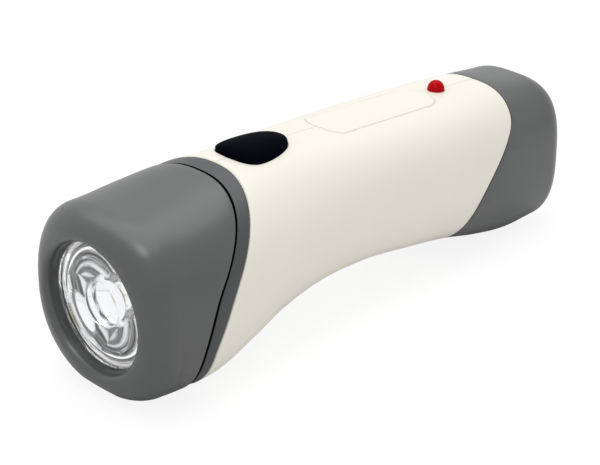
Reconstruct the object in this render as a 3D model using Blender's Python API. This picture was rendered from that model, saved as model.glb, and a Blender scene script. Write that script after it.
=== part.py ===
# Rechargeable flashlight with a folding mains plug in its tail.
# Metres, +Z up. The beam points to -Y, the tail to +Y, and the part rests on the underside
# of its head and tail. Inside this file y is counted from the front face, and every object
# is shifted by half the length when it is made, so the origin lies under the middle.

import math

import bmesh
import bpy
import numpy as np
from mathutils import Matrix, Vector

MM = 0.001

# Driving sizes of the body
LENGTH = 170 * MM
HEAD_WIDTH = 52.8 * MM
BODY_HEIGHT = 53.2 * MM
WALL = 2.0 * MM
SLEEVE_WALL = 1.6 * MM
FIT_GAP = 0.3 * MM
SEAM_GAP = 0.3 * MM
SHADOW_GAP = 0.7 * MM
EDGE_ROUND = 0.4 * MM
COLLAR_SINK = 0.4 * MM
STEP_LAND = 2.0 * MM
OVERRUN = 3.0 * MM

# Nose and optics
NOSE_DEPTH = 8.2 * MM
MOUTH_RADIUS = 19.2 * MM
THROAT_RADIUS = 17.6 * MM
LIP_DEPTH = 3.0 * MM
LENS_RISE = 0.3 * MM
LENS_SETBACK = 3.9 * MM
LENS_STEP = 0.8 * MM
GASKET = dict(thickness=0.8 * MM, width=1.2 * MM)
LENS = dict(flange=1.6 * MM, flange_width=1.3 * MM, depth=15.2 * MM, rear_radius=5.4 * MM,
            pocket_radius=6.4 * MM, pocket_depth=3.0 * MM, pocket_taper=2.4 * MM,
            dish=1.0 * MM, cavity_radius=4.4 * MM, cavity_depth=4.6 * MM, cavity_crown=0.8 * MM)
HOLDER = dict(wall=1.2 * MM, rim=1.6 * MM, clearance=0.6 * MM, backing=0.4 * MM)
EMITTER = dict(side=5.0 * MM, base=1.2 * MM, dome=1.6 * MM)
LED_BOARD = dict(radius=10.0 * MM, thickness=1.6 * MM)
SPREADER = dict(radius=12.5 * MM, thickness=2.0 * MM, rim=1.4 * MM, rim_height=1.2 * MM)
CRADLE = dict(thickness=2.0 * MM, rib=1.3 * MM, rib_height=2.0 * MM)
WIRE_HOLE = dict(radius=2.0 * MM, offset=5.0 * MM, drop=6.6 * MM)
LENS_DISH_SHARES = (0.55, 0.7)
LENS_FLANK_SHARES = [(0.25, 0.0625), (0.5, 0.25), (0.75, 0.5625), (1.0, 1.0)]
CAVITY_SHARE = 0.86

# Button and switch
BUTTON = dict(setback=4.0 * MM, length=20.2 * MM, width=16.1 * MM, stand=0.9 * MM, dome=1.7 * MM,
              flange=1.2 * MM, flange_thickness=1.2 * MM, stem_radius=3.0 * MM,
              stem_length=2.6 * MM, travel=1.3 * MM)
SWITCH = dict(side=12.0 * MM, height=7.0 * MM, plunger=4.4 * MM, show=2.7 * MM,
              bore_clearance=0.3 * MM, floor=0.9 * MM)
SWITCH_BOARD = dict(width=26.0 * MM, thickness=1.6 * MM, front=13.0 * MM, rear=12.0 * MM)

# Nameplate and charge light
PLATE = dict(width=14.8 * MM, button_gap=13.2 * MM, light_gap=4.6 * MM, front_bow=2.3 * MM,
             rear_bow=3.7 * MM, thickness=0.9 * MM, rise=0.1 * MM)
LIGHT_GAP_SHARE = 0.0988
LIGHT = dict(radius=2.5 * MM, flange=0.45 * MM, flange_height=1.0 * MM,
             tail_gap=LIGHT_GAP_SHARE * LENGTH,
             shoulder=0.4 * MM, lead=0.5 * MM, lead_pitch=2.54 * MM)

# Cells
CELL_LENGTH_SHARE = 0.253
CELL = dict(radius=7.1 * MM, length=CELL_LENGTH_SHARE * LENGTH, nub_radius=2.7 * MM, nub=0.9 * MM,
            crimp=0.5 * MM, crimp_width=1.4 * MM, edge=0.7 * MM)
TAB = dict(width=5.0 * MM, thickness=0.3 * MM, overhang=2.0 * MM)
RIB_THICKNESS = 2.0 * MM
RIB_INSET = 8.0 * MM

# Screws and their bosses
SCREW = dict(shaft=1.4 * MM, head=2.4 * MM, head_height=1.8 * MM, seat=8.0 * MM, reach=9.0 * MM,
             head_round=0.6 * MM)
BOSS = dict(radius=3.8 * MM, well=2.8 * MM, margin=0.6 * MM)

# Charger
CHARGER_BOARD = dict(width=26.0 * MM, thickness=1.6 * MM)
DROPPER = dict(width=7.0 * MM, height=10.0 * MM, edge=0.8 * MM)
DROPPER_SHARE = 0.7
RECTIFIER = dict(length=6.4 * MM, width=8.0 * MM, height=3.0 * MM)
SMOOTHER = dict(radius=2.6 * MM, length=8.0 * MM, crimp=0.4 * MM)
FUSE = dict(radius=1.7 * MM, length=8.0 * MM, waist=0.4 * MM)
SHELF = dict(thickness=2.0 * MM, overlap=2.0 * MM, length=6.0 * MM)

# Tail cap and folding plug
TAIL_ROUND = 7.5 * MM
END_WALL = 3.5 * MM
SLEEVE_END = 18.0 * MM
PLUG = dict(height=15.5 * MM, setback=4.7 * MM, radius=4.4 * MM, half_length=8.6 * MM,
            trunnion_radius=1.6 * MM, trunnion=2.0 * MM, swing_gap=0.3 * MM)
BLADE = dict(pitch=12.7 * MM, width=6.35 * MM, thickness=1.5 * MM, reach=16.0 * MM,
             tab=1.3 * MM, tab_width=3.0 * MM, tip_chamfer=1.4 * MM, slot_gap=0.4 * MM,
             seat_gap=0.15 * MM, hole=1.55 * MM, hole_to_tip=4.3 * MM)
BAY = dict(half_width=11.8 * MM, depth=12.2 * MM, skin=1.5 * MM, drop=10.2 * MM)
DISH = dict(radius=10.0 * MM, depth=3.6 * MM, below_tip=3.2 * MM)
CONTACT = dict(width=3.2 * MM, thickness=0.4 * MM, hump=2.4 * MM, rise=9.0 * MM, fall=5.0 * MM,
               window=0.3 * MM, lift=0.5 * MM)

# Resolution
RING_POINTS = 36
TURN_STEPS = 24
SMALL_TURN_STEPS = 12
SMOOTH_ANGLE = math.radians(32)
WELD = 0.001 * MM
SOLVE_PASSES = 6

# Outline of the body: place along the length, half width as a share of the head's width,
# top and bottom as shares of the height, and the squareness of the section
BODY_SHARES = [
    (0.000, 0.481, 0.957, -0.010, 3.3),
    (0.071, 0.496, 0.953, -0.010, 2.95),
    (0.141, 0.500, 0.963, 0.014, 2.8),
    (0.224, 0.475, 0.990, 0.070, 2.5),
    (0.306, 0.436, 1.000, 0.124, 2.2),
    (0.400, 0.410, 0.990, 0.190, 2.3),
    (0.506, 0.4015, 0.966, 0.214, 2.65),
    (0.612, 0.4005, 0.942, 0.177, 2.9),
    (0.706, 0.396, 0.923, 0.124, 3.0),
    (0.800, 0.3855, 0.908, 0.040, 3.05),
    (0.882, 0.375, 0.893, -0.010, 3.1),
    (0.941, 0.3645, 0.870, -0.010, 3.2),
    (1.000, 0.352, 0.840, -0.010, 3.4),
]

# Side view of the wavy split lines: height as a share of the body's height, then the place
# along the length
NOSE_SPLIT_SHARES = [(0.00, 0.092), (0.15, 0.092), (0.30, 0.096), (0.45, 0.109),
                     (0.60, 0.127), (0.75, 0.160), (0.90, 0.200), (1.00, 0.226), (1.06, 0.242)]
COLLAR_SPLIT_SHARES = [(0.00, 0.114), (0.15, 0.115), (0.30, 0.120), (0.45, 0.139),
                       (0.60, 0.162), (0.75, 0.194), (0.90, 0.231), (1.00, 0.259), (1.06, 0.276)]
TAIL_SPLIT_SHARES = [(0.00, 0.706), (0.11, 0.707), (0.22, 0.724), (0.37, 0.754), (0.52, 0.793),
                     (0.66, 0.829), (0.75, 0.851), (0.83, 0.860), (0.92, 0.868), (1.00, 0.874)]

# Plan of half the button: share of its width, share of its length
BUTTON_SHARES = [(0.0, 0.0), (0.22, 0.02), (0.375, 0.075), (0.47, 0.17), (0.5, 0.30),
                 (0.49, 0.45), (0.455, 0.60), (0.395, 0.75), (0.30, 0.875), (0.16, 0.965),
                 (0.0, 1.0)]
BUTTON_DOME_SHARES = [(0.95, 0.35), (0.82, 0.68), (0.55, 0.92), (0.25, 1.0)]
BUTTON_MIDDLE_SHARE = 0.42

# Wires inside, and the shares of the way along and up at which each one bends
WIRE = dict(radius=0.65 * MM, stop=0.5 * MM, lead_out=1.8 * MM, board_inset=6.4 * MM,
            cell_offset=3.0 * MM, cell_drop=3.0 * MM, charge_offset=11.0 * MM, over=3.3 * MM,
            under=4.4 * MM, rear_inset=3.0 * MM, behind=2.7 * MM, contact_run=3.5 * MM,
            contact_spread=1.0 * MM)
WIRE_ROUND_STEPS = 2
WIRE_POINTS = 7
LED_BEND_SHARES = [(0.53, 0.22), (0.83, 0.68)]
CELL_BEND_SHARES = [(0.35, 0.0), (0.68, 0.82)]
REAR_BEND_SHARES = [(0.80, 0.25)]
CHARGE_RISE_SHARES = [(0.03, 0.26), (0.09, 0.72), (0.16, 1.0), (0.42, 1.0)]
CHARGE_FALL_SHARES = [(0.45, 0.0), (0.80, 0.51)]
MAINS_BEND_SHARES = [(0.33, 0.68)]


def smooth_value(shares, column, place):
    """Value on a smooth curve through a table of shares."""
    places = [row[0] for row in shares]
    values = [row[column] for row in shares]
    place = min(max(place, places[0]), places[-1])
    slopes = np.gradient(values, places)
    k = min(int(np.searchsorted(places, place, side="right")) - 1, len(places) - 2)
    span = places[k + 1] - places[k]
    t = (place - places[k]) / span
    low = values[k] + t * t * (3 - 2 * t) * (values[k + 1] - values[k])
    return low + span * (t * (1 - t) ** 2 * slopes[k] - t * t * (1 - t) * slopes[k + 1])


def section(y):
    """Half width, top, bottom and squareness of the body at y."""
    place = y / LENGTH
    return (smooth_value(BODY_SHARES, 1, place) * HEAD_WIDTH,
            smooth_value(BODY_SHARES, 2, place) * BODY_HEIGHT,
            smooth_value(BODY_SHARES, 3, place) * BODY_HEIGHT,
            smooth_value(BODY_SHARES, 4, place))


def split_line(shares, shift=0.0):
    """Place of a wavy split line as a function of height."""
    return lambda z: smooth_value(shares, 1, z / BODY_HEIGHT) * LENGTH + shift


def level(y):
    """A flat edge, the same at every height."""
    return lambda z: y


def between(front, back, share):
    """An edge part of the way from one edge to the next."""
    return lambda z: (1 - share) * front(z) + share * back(z)


def skin_point(angle, edge, inset):
    """Point of the body's skin, moved in by inset, where the edge crosses it."""
    y = edge(BODY_HEIGHT / 2)
    for _ in range(SOLVE_PASSES):
        half, top, bottom, squareness = section(y)
        power = 2 / squareness
        across = math.copysign(abs(math.cos(angle)) ** power, math.cos(angle))
        up = math.copysign(abs(math.sin(angle)) ** power, math.sin(angle))
        x = (half - inset) * across
        z = (top + bottom) / 2 + ((top - bottom) / 2 - inset) * up
        y = edge(z)
    return Vector((x, y, max(z, inset)))


def ring(edge, inset):
    """Whole ring of skin points, with an edge and not a point on the middle plane."""
    return [skin_point((k + 0.5) * math.tau / RING_POINTS, edge, inset)
            for k in range(RING_POINTS)]


def half_ring(edge, inset, side):
    """Ring of one half, from the top seam to the bottom seam. side is 1 or -1."""
    points = []
    for k in range(RING_POINTS // 2 + 1):
        point = skin_point(math.pi / 2 - k * math.tau / RING_POINTS, edge, inset)
        points.append(Vector((side * max(point.x, SEAM_GAP / 2), point.y, point.z)))
    return points


def roof(x, y, inset):
    """Height of the top skin over a point of the plan."""
    half, top, bottom, squareness = section(y)
    share = min(abs(x) / (half - inset), 1.0)
    reach = (top - bottom) / 2 - inset
    return (top + bottom) / 2 + reach * (1 - share ** squareness) ** (1 / squareness)


def floor(x, y, inset):
    """Height of the bottom skin over a point of the plan."""
    half, top, bottom, squareness = section(y)
    share = min(abs(x) / (half - inset), 1.0)
    reach = (top - bottom) / 2 - inset
    under = (top + bottom) / 2 - reach * (1 - share ** squareness) ** (1 / squareness)
    return max(under, inset)


# Places worked out from the sizes above
nose_split = split_line(NOSE_SPLIT_SHARES)
collar_split = split_line(COLLAR_SPLIT_SHARES)
tail_split = split_line(TAIL_SPLIT_SHARES)
SLEEVE_INSET = WALL + FIT_GAP
CORE_INSET = SLEEVE_INSET + SLEEVE_WALL

_, nose_top, _, _ = section(0)
MOUTH_HEIGHT = nose_top / 2 + LENS_RISE
LEDGE_Y = LENS_SETBACK + LENS_STEP
GASKET_Y = LEDGE_Y + FIT_GAP
FLANGE_Y = GASKET_Y + GASKET["thickness"] + FIT_GAP
HOLDER_Y = FLANGE_Y + LENS["flange"] + FIT_GAP
POCKET_RADIUS = THROAT_RADIUS + GASKET["width"] + 2 * FIT_GAP
POCKET_END = HOLDER_Y + HOLDER["rim"]
SLEEVE_FRONT = POCKET_END + 2 * FIT_GAP + WALL
LENS_REAR = LENS_SETBACK + LENS["depth"]
LED_BOARD_Y = LENS_REAR + HOLDER["clearance"] + HOLDER["wall"] / 2
SPREADER_Y = LED_BOARD_Y + LED_BOARD["thickness"] + FIT_GAP
CRADLE_Y = SPREADER_Y + SPREADER["rim_height"] + SPREADER["thickness"] + FIT_GAP
CRADLE_END = CRADLE_Y + CRADLE["thickness"]

collar_top = collar_split(roof(0, collar_split(BODY_HEIGHT), 0))
tail_top = tail_split(roof(0, tail_split(BODY_HEIGHT), 0))
tail_low = tail_split(0)
FRONT_STEP_Y = collar_top + STEP_LAND
REAR_STEP_Y = tail_low - STEP_LAND
SLEEVE_REAR = LENGTH - SLEEVE_END

BUTTON_Y = collar_top + BUTTON["setback"]
BUTTON_MIDDLE = BUTTON_Y + BUTTON_MIDDLE_SHARE * BUTTON["length"]
BUTTON_END = BUTTON_Y + BUTTON["length"]
LIGHT_Y = tail_top - LIGHT["tail_gap"]
PLATE_Y = BUTTON_END + PLATE["button_gap"]
PLATE_END = LIGHT_Y - PLATE["light_gap"]

PLUG_Y = LENGTH - PLUG["setback"]
PLUG_Z = PLUG["height"]
BLADE_TIP = PLUG["setback"] + BLADE["reach"]
BLADE_TAIL = PLUG["radius"] + BLADE["tab"]
BAY_Y = LENGTH - BAY["depth"]


def new_material(name, colour, roughness, metallic=0.0, transmission=0.0):
    """Principled material with plain values."""
    material = bpy.data.materials.new(name)
    material.use_nodes = True
    shader = material.node_tree.nodes["Principled BSDF"]
    shader.inputs["Base Color"].default_value = (*colour, 1.0)
    shader.inputs["Roughness"].default_value = roughness
    shader.inputs["Metallic"].default_value = metallic
    shader.inputs["Transmission Weight"].default_value = transmission
    return material


def add_object(name, bm, material=None, pivot=None, cutter=False):
    """Make one object of a mesh drawn from the front face, round its pivot if it moves."""
    origin = Vector((0, 0, 0))
    if pivot:
        origin = pivot.matrix_world.translation
    shift = Vector((0, -LENGTH / 2, 0)) - origin
    bmesh.ops.translate(bm, vec=shift, verts=bm.verts)
    bmesh.ops.recalc_face_normals(bm, faces=bm.faces)
    mesh = bpy.data.meshes.new(name)
    bm.to_mesh(mesh)
    bm.free()
    mesh.shade_smooth()
    mesh.set_sharp_from_angle(angle=SMOOTH_ANGLE)
    body = bpy.data.objects.new(name, mesh)
    bpy.context.scene.collection.objects.link(body)
    if pivot:
        body.parent = pivot
    if cutter:
        body.hide_render = True
        body.display_type = "WIRE"
    elif material:
        mesh.materials.append(material)
    return body


def add_pivot(name, x, y, z):
    """Empty on a joint's axis."""
    pivot = bpy.data.objects.new(name, None)
    pivot.location = (x, y - LENGTH / 2, z)
    bpy.context.scene.collection.objects.link(pivot)
    bpy.context.view_layer.update()
    return pivot


def combine(body, tool, operation, overlaps=False):
    """Boolean of one object with a cutter or with added features, which may cross each other."""
    step = body.modifiers.new(tool.name, "BOOLEAN")
    step.operation = operation
    step.solver = "EXACT"
    step.use_self = overlaps
    step.object = tool


def loft(bm, rows, closed_rows, wrap):
    """Extrude a row of points through all the rows. wrap joins the last row to the first."""
    first = [bm.verts.new(point) for point in rows[0]]
    pairs = list(zip(first, first[1:]))
    if closed_rows:
        pairs.append((first[-1], first[0]))
    edges = [bm.edges.new(pair) for pair in pairs]
    run = first
    for row in rows[1:] + (rows[:1] if wrap else []):
        made = bmesh.ops.extrude_edge_only(bm, edges=edges)["geom"]
        fresh = {item for item in made if isinstance(item, bmesh.types.BMVert)}
        twins = [next(edge.other_vert(vert) for edge in vert.link_edges
                      if edge.other_vert(vert) in fresh) for vert in run]
        for twin, point in zip(twins, row):
            twin.co = point
        edges = [item for item in made if isinstance(item, bmesh.types.BMEdge)
                 and fresh.issuperset(item.verts)]
        run = twins
    if wrap:
        bmesh.ops.remove_doubles(bm, verts=first + run, dist=WELD)


def close_ends(bm):
    """Fill each open end with one flat face."""
    rim = [edge for edge in bm.edges if edge.is_boundary]
    bmesh.ops.holes_fill(bm, edges=rim, sides=0)
    wide = [face for face in bm.faces if len(face.verts) > 4]
    bmesh.ops.triangulate(bm, faces=wide, ngon_method="EAR_CLIP")


def add_turned(bm, profile, centre, axis, steps, ring_profile=False):
    """Turn a profile of (radius, distance along the axis) pairs all the way round."""
    along = Vector(axis)
    out = along.orthogonal().normalized()
    verts = [bm.verts.new(Vector(centre) + out * radius + along * t) for radius, t in profile]
    pairs = list(zip(verts, verts[1:]))
    if ring_profile:
        pairs.append((verts[-1], verts[0]))
    edges = [bm.edges.new(pair) for pair in pairs]
    bmesh.ops.spin(bm, geom=verts + edges, cent=centre, axis=axis, angle=math.tau,
                   steps=steps, use_merge=True)
    bmesh.ops.remove_doubles(bm, verts=bm.verts, dist=WELD)
    for (radius, t), (_, beside) in ((profile[0], profile[1]), (profile[-1], profile[-2])):
        if radius == 0 and t == beside:
            pole = Vector(centre) + along * t
            middle = min(bm.verts, key=lambda vert: (vert.co - pole).length)
            bmesh.ops.dissolve_verts(bm, verts=[middle])


def add_box(bm, low, high):
    """Box between two corners."""
    size = Vector(high) - Vector(low)
    middle = (Vector(high) + Vector(low)) / 2
    place = Matrix.Translation(middle) @ Matrix.Diagonal((*size, 1))
    return bmesh.ops.create_cube(bm, size=1, matrix=place)["verts"]


def add_prism(bm, outline, depth):
    """Push a flat outline along a vector."""
    face = bm.faces.new([bm.verts.new(point) for point in outline])
    made = bmesh.ops.extrude_face_region(bm, geom=[face])
    moved = [item for item in made["geom"] if isinstance(item, bmesh.types.BMVert)]
    bmesh.ops.translate(bm, vec=depth, verts=moved)


def turned_object(name, profile, centre, axis, material=None, steps=TURN_STEPS,
                  ring_profile=False, **options):
    """One turned piece as an object."""
    bm = bmesh.new()
    add_turned(bm, profile, centre, axis, steps, ring_profile)
    return add_object(name, bm, material, **options)


def box_object(name, low, high, material=None, **options):
    """One box as an object."""
    bm = bmesh.new()
    add_box(bm, low, high)
    return add_object(name, bm, material, **options)


def rod(start, end, radius):
    """Profile of a plain rod for add_turned."""
    return [(0, start), (radius, start), (radius, end), (0, end)]


# Head

def mouth_ring(radius, y):
    """Round ring with as many points as the square section behind it."""
    angles = [(k + 0.5) * math.tau / RING_POINTS for k in range(RING_POINTS)]
    return [Vector((radius * math.cos(angle), y, MOUTH_HEIGHT + radius * math.sin(angle)))
            for angle in angles]


def make_bezel(material):
    """Grey nose: rounded square outside, round dished mouth, lens pocket behind."""
    rear = split_line(NOSE_SPLIT_SHARES, -EDGE_ROUND)
    rows = [ring(nose_split, WALL), ring(nose_split, EDGE_ROUND), ring(rear, 0)]
    rows += [ring(between(rear, level(NOSE_DEPTH), k / 4), 0) for k in range(1, 4)]
    square = ring(level(NOSE_DEPTH), 0)
    crest = mouth_ring(MOUTH_RADIUS, 0)
    for k in range(7):
        turn = k * math.pi / 12
        y = NOSE_DEPTH * (1 - math.sin(turn))
        row = [inner.lerp(outer, math.cos(turn)) for inner, outer in zip(crest, square)]
        rows.append([Vector((point.x, y, point.z)) for point in row])
    for k in range(1, 4):
        turn = k * math.pi / 6
        radius = MOUTH_RADIUS - (MOUTH_RADIUS - THROAT_RADIUS) * math.sin(turn)
        rows.append(mouth_ring(radius, LIP_DEPTH * (1 - math.cos(turn))))
    rows.append(mouth_ring(THROAT_RADIUS, LEDGE_Y))
    rows.append(mouth_ring(POCKET_RADIUS, LEDGE_Y))
    rows.append(mouth_ring(POCKET_RADIUS, POCKET_END))
    inner = level(SLEEVE_FRONT - FIT_GAP)
    rows += [ring(inner, WALL), ring(between(inner, nose_split, 0.5), WALL)]
    bm = bmesh.new()
    loft(bm, rows, closed_rows=True, wrap=True)
    return add_object("head_bezel", bm, material)


def make_collar(material):
    """Grey ring between the nose and the white body, with both edges wavy."""
    front = split_line(NOSE_SPLIT_SHARES, SHADOW_GAP)
    front_round = split_line(NOSE_SPLIT_SHARES, SHADOW_GAP + EDGE_ROUND)
    rear_round = split_line(COLLAR_SPLIT_SHARES, -EDGE_ROUND)
    rows = [
        ring(front, WALL),
        ring(front, COLLAR_SINK + EDGE_ROUND),
        ring(front_round, COLLAR_SINK),
        ring(between(front_round, rear_round, 0.5), COLLAR_SINK / 2),
        ring(rear_round, 0),
        ring(collar_split, EDGE_ROUND),
        ring(collar_split, WALL),
        ring(between(front, collar_split, 0.5), WALL),
    ]
    bm = bmesh.new()
    loft(bm, rows, closed_rows=True, wrap=True)
    return add_object("head_collar", bm, material)


def lens_flank():
    """Points of the optic's bowl shaped flank, from its flange to its rear end."""
    face = THROAT_RADIUS - FIT_GAP
    start = FLANGE_Y + LENS["flange"]
    return [(face + (LENS["rear_radius"] - face) * fall, start + (LENS_REAR - start) * along)
            for along, fall in LENS_FLANK_SHARES]


def lens_profile():
    """Radius and place of the clear optic, from the front pocket round to the LED cavity."""
    face = THROAT_RADIUS - FIT_GAP
    flange = face + LENS["flange_width"]
    front = LENS_SETBACK
    floor_y = front + LENS["pocket_depth"]
    pocket_low = LENS["pocket_radius"] - LENS["pocket_taper"]
    flange_back = FLANGE_Y + LENS["flange"]
    out_share, deep_share = LENS_DISH_SHARES
    profile = [(0, floor_y + LENS["dish"]),
               (pocket_low * out_share, floor_y + LENS["dish"] * deep_share),
               (pocket_low, floor_y),
               (LENS["pocket_radius"], front),
               (face, front),
               (face, FLANGE_Y),
               (flange, FLANGE_Y),
               (flange, flange_back),
               (face, flange_back)]
    profile += lens_flank()
    cavity_y = LENS_REAR - LENS["cavity_depth"]
    profile += [(LENS["cavity_radius"], LENS_REAR),
                (LENS["cavity_radius"] * CAVITY_SHARE, cavity_y + LENS["cavity_crown"]),
                (0, cavity_y)]
    return profile


def make_optics(materials):
    """Gasket, clear optic, its holder, LED, board, spreader and cradle."""
    axis = (0, 1, 0)
    centre = (0, 0, MOUTH_HEIGHT)
    outer = THROAT_RADIUS + GASKET["width"]
    turned_object("lens_gasket", [
        (THROAT_RADIUS, GASKET_Y), (outer, GASKET_Y),
        (outer, GASKET_Y + GASKET["thickness"]), (THROAT_RADIUS, GASKET_Y + GASKET["thickness"]),
    ], centre, axis, materials["rubber"], ring_profile=True)
    turned_object("lens", lens_profile(), centre, axis, materials["clear"])

    gap = HOLDER["clearance"]
    face = THROAT_RADIUS - FIT_GAP
    rim = face + LENS["flange_width"]
    base_y = LED_BOARD_Y - FIT_GAP
    bowl = [(radius + gap, y + FIT_GAP) for radius, y in lens_flank()]
    throat = bowl[-1][0]
    back = [(radius + HOLDER["wall"], y + HOLDER["backing"]) for radius, y in bowl[:-1]]
    turned_object("optic_holder", [(face + gap, HOLDER_Y)] + bowl
                  + [(throat, base_y), (throat + HOLDER["wall"] + HOLDER["backing"], base_y)]
                  + back[::-1] + [(rim, HOLDER_Y + HOLDER["rim"]), (rim, HOLDER_Y)],
                  centre, axis, materials["chrome"], ring_profile=True)

    bm = bmesh.new()
    half = EMITTER["side"] / 2
    emitter_y = LED_BOARD_Y - FIT_GAP
    dome_y = emitter_y - EMITTER["base"]
    add_box(bm, (-half, dome_y, MOUTH_HEIGHT - half), (half, emitter_y, MOUTH_HEIGHT + half))
    emitter = add_object("led_emitter", bm, materials["phosphor"])
    dome = [(0, dome_y - EMITTER["dome"])]
    dome += [(EMITTER["dome"] * math.sin(k * math.pi / 8),
              dome_y - EMITTER["dome"] * math.cos(k * math.pi / 8)) for k in range(1, 5)]
    dome += [(EMITTER["dome"], dome_y + EMITTER["base"] / 2), (0, dome_y + EMITTER["base"] / 2)]
    combine(emitter, turned_object("emitter_dome", dome, centre, axis, steps=SMALL_TURN_STEPS,
                                   cutter=True), "UNION")

    turned_object("led_board", rod(LED_BOARD_Y, LED_BOARD_Y + LED_BOARD["thickness"],
                                   LED_BOARD["radius"]), centre, axis, materials["white_board"])
    rim_radius = SPREADER["radius"]
    rim_inner = rim_radius - SPREADER["rim"]
    seat = SPREADER_Y + SPREADER["thickness"]
    spreader = turned_object("heat_spreader", [
        (0, SPREADER_Y), (rim_radius, SPREADER_Y), (rim_radius, seat + SPREADER["rim_height"]),
        (rim_inner, seat + SPREADER["rim_height"]), (rim_inner, seat), (0, seat),
    ], centre, axis, materials["aluminium"])

    rows = []
    for y in (CRADLE_Y, CRADLE_END):
        row = half_ring(level(y), CORE_INSET + FIT_GAP, 1)
        rows.append(row + half_ring(level(y), CORE_INSET + FIT_GAP, -1)[::-1])
    bm = bmesh.new()
    loft(bm, rows, closed_rows=True, wrap=False)
    close_ends(bm)
    cradle = add_object("optic_cradle", bm, materials["white_inner"])
    for side, word in ((1, "right"), (-1, "left")):
        bm = bmesh.new()
        hole = (side * WIRE_HOLE["offset"], 0, MOUTH_HEIGHT - WIRE_HOLE["drop"])
        add_turned(bm, rod(SPREADER_Y - FIT_GAP / 2, CRADLE_END + OVERRUN, WIRE_HOLE["radius"]),
                   hole, axis, SMALL_TURN_STEPS)
        tool = add_object("wire_hole_" + word, bm, cutter=True)
        combine(spreader, tool, "DIFFERENCE")
        combine(cradle, tool, "DIFFERENCE")


# Button, plate and charge light on top

def button_plan(grow=0.0):
    """Plan of the button, widest toward the head and narrow toward the tail."""
    half = [Vector((share_x * BUTTON["width"], BUTTON_Y + share_y * BUTTON["length"], 0))
            for share_x, share_y in BUTTON_SHARES]
    plan = half + [Vector((-p.x, p.y, 0)) for p in reversed(half[1:-1])]
    grown = []
    for before, point, after in zip([plan[-1]] + plan[:-1], plan, plan[1:] + [plan[0]]):
        run = (after - before).normalized()
        grown.append(point + Vector((run.y, -run.x, 0)) * grow)
    return grown


def flange_top():
    """Height of the button's flange, just under the shell's inner face."""
    return min(roof(p.x, p.y, WALL) for p in button_plan(BUTTON["flange"])) - FIT_GAP


FLANGE_TOP = flange_top()
FLANGE_LOW = FLANGE_TOP - BUTTON["flange_thickness"]
STEM_LOW = FLANGE_LOW - BUTTON["stem_length"]
PLUNGER_TOP = STEM_LOW - FIT_GAP
CASE_TOP = PLUNGER_TOP - SWITCH["show"]
CASE_LOW = CASE_TOP - SWITCH["height"]
SWITCH_BOARD_TOP = CASE_LOW - FIT_GAP
SWITCH_BOARD_LOW = SWITCH_BOARD_TOP - SWITCH_BOARD["thickness"]


def make_button(material, pivot):
    """Shield shaped push button with a domed top, a flange inside and a stem."""
    plan = button_plan()
    flange = button_plan(BUTTON["flange"])
    middle = Vector((0, BUTTON_MIDDLE, 0))
    stem = [middle + (point - middle).normalized() * BUTTON["stem_radius"] for point in plan]

    def raised(points, z):
        return [Vector((p.x, p.y, z)) for p in points]

    rows = [raised(stem, STEM_LOW), raised(stem, FLANGE_LOW), raised(flange, FLANGE_LOW),
            raised(flange, FLANGE_TOP), raised(plan, FLANGE_TOP)]
    rows.append([Vector((p.x, p.y, roof(p.x, p.y, 0) + BUTTON["stand"])) for p in plan])
    for size_share, height_share in BUTTON_DOME_SHARES:
        row = [middle.lerp(p, size_share) for p in plan]
        lift = BUTTON["stand"] + BUTTON["dome"] * height_share
        rows.append([Vector((p.x, p.y, roof(p.x, p.y, 0) + lift)) for p in row])
    bm = bmesh.new()
    loft(bm, rows, closed_rows=True, wrap=False)
    close_ends(bm)
    return add_object("switch_button", bm, material, pivot=pivot)


def make_switch(materials, pivot):
    """Latching switch: case on its board, and the plunger that the button pushes."""
    half = SWITCH["side"] / 2
    case = box_object("switch_case", (-half, BUTTON_MIDDLE - half, CASE_LOW),
                      (half, BUTTON_MIDDLE + half, CASE_TOP), materials["black"])
    bore = SWITCH["plunger"] / 2 + SWITCH["bore_clearance"]
    combine(case, box_object("switch_bore",
                             (-bore, BUTTON_MIDDLE - bore, CASE_LOW + SWITCH["floor"]),
                             (bore, BUTTON_MIDDLE + bore, CASE_TOP + OVERRUN),
                             cutter=True), "DIFFERENCE")
    rod_half = SWITCH["plunger"] / 2
    low = CASE_LOW + SWITCH["floor"] + BUTTON["travel"] + FIT_GAP
    box_object("switch_plunger", (-rod_half, BUTTON_MIDDLE - rod_half, low),
               (rod_half, BUTTON_MIDDLE + rod_half, PLUNGER_TOP), materials["white_inner"],
               pivot=pivot)
    box_object("switch_board",
               (-SWITCH_BOARD["width"] / 2, BUTTON_MIDDLE - SWITCH_BOARD["front"],
                SWITCH_BOARD_LOW),
               (SWITCH_BOARD["width"] / 2, BUTTON_MIDDLE + SWITCH_BOARD["rear"],
                SWITCH_BOARD_TOP), materials["board"])


def plate_body(name, grow, high, low, material=None, cutter=False):
    """Strip that follows the top of the body. high and low are insets from the skin."""
    half = PLATE["width"] / 2
    front = PLATE_Y - grow
    rear = PLATE_END + grow
    stations = []
    for share in (0.02, 0.15, 0.45, 1.0):
        stations.append((front + PLATE["front_bow"] * share, half * math.sqrt(share)))
    steps = 6
    start = front + PLATE["front_bow"]
    end = rear - PLATE["rear_bow"]
    stations += [(start + (end - start) * k / steps, half) for k in range(1, steps + 1)]
    for share in (0.45, 0.15, 0.02):
        stations.append((rear - PLATE["rear_bow"] * share, half * math.sqrt(share)))
    rows = []
    for y, width in stations:
        places = [(width + grow) * k / 2 for k in range(-2, 3)]
        row = [Vector((x, y, roof(x, y, 0) - high)) for x in places]
        row += [Vector((x, y, roof(x, y, 0) - low)) for x in reversed(places)]
        rows.append(row)
    bm = bmesh.new()
    loft(bm, rows, closed_rows=True, wrap=False)
    close_ends(bm)
    return add_object(name, bm, material, cutter=cutter)


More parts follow.
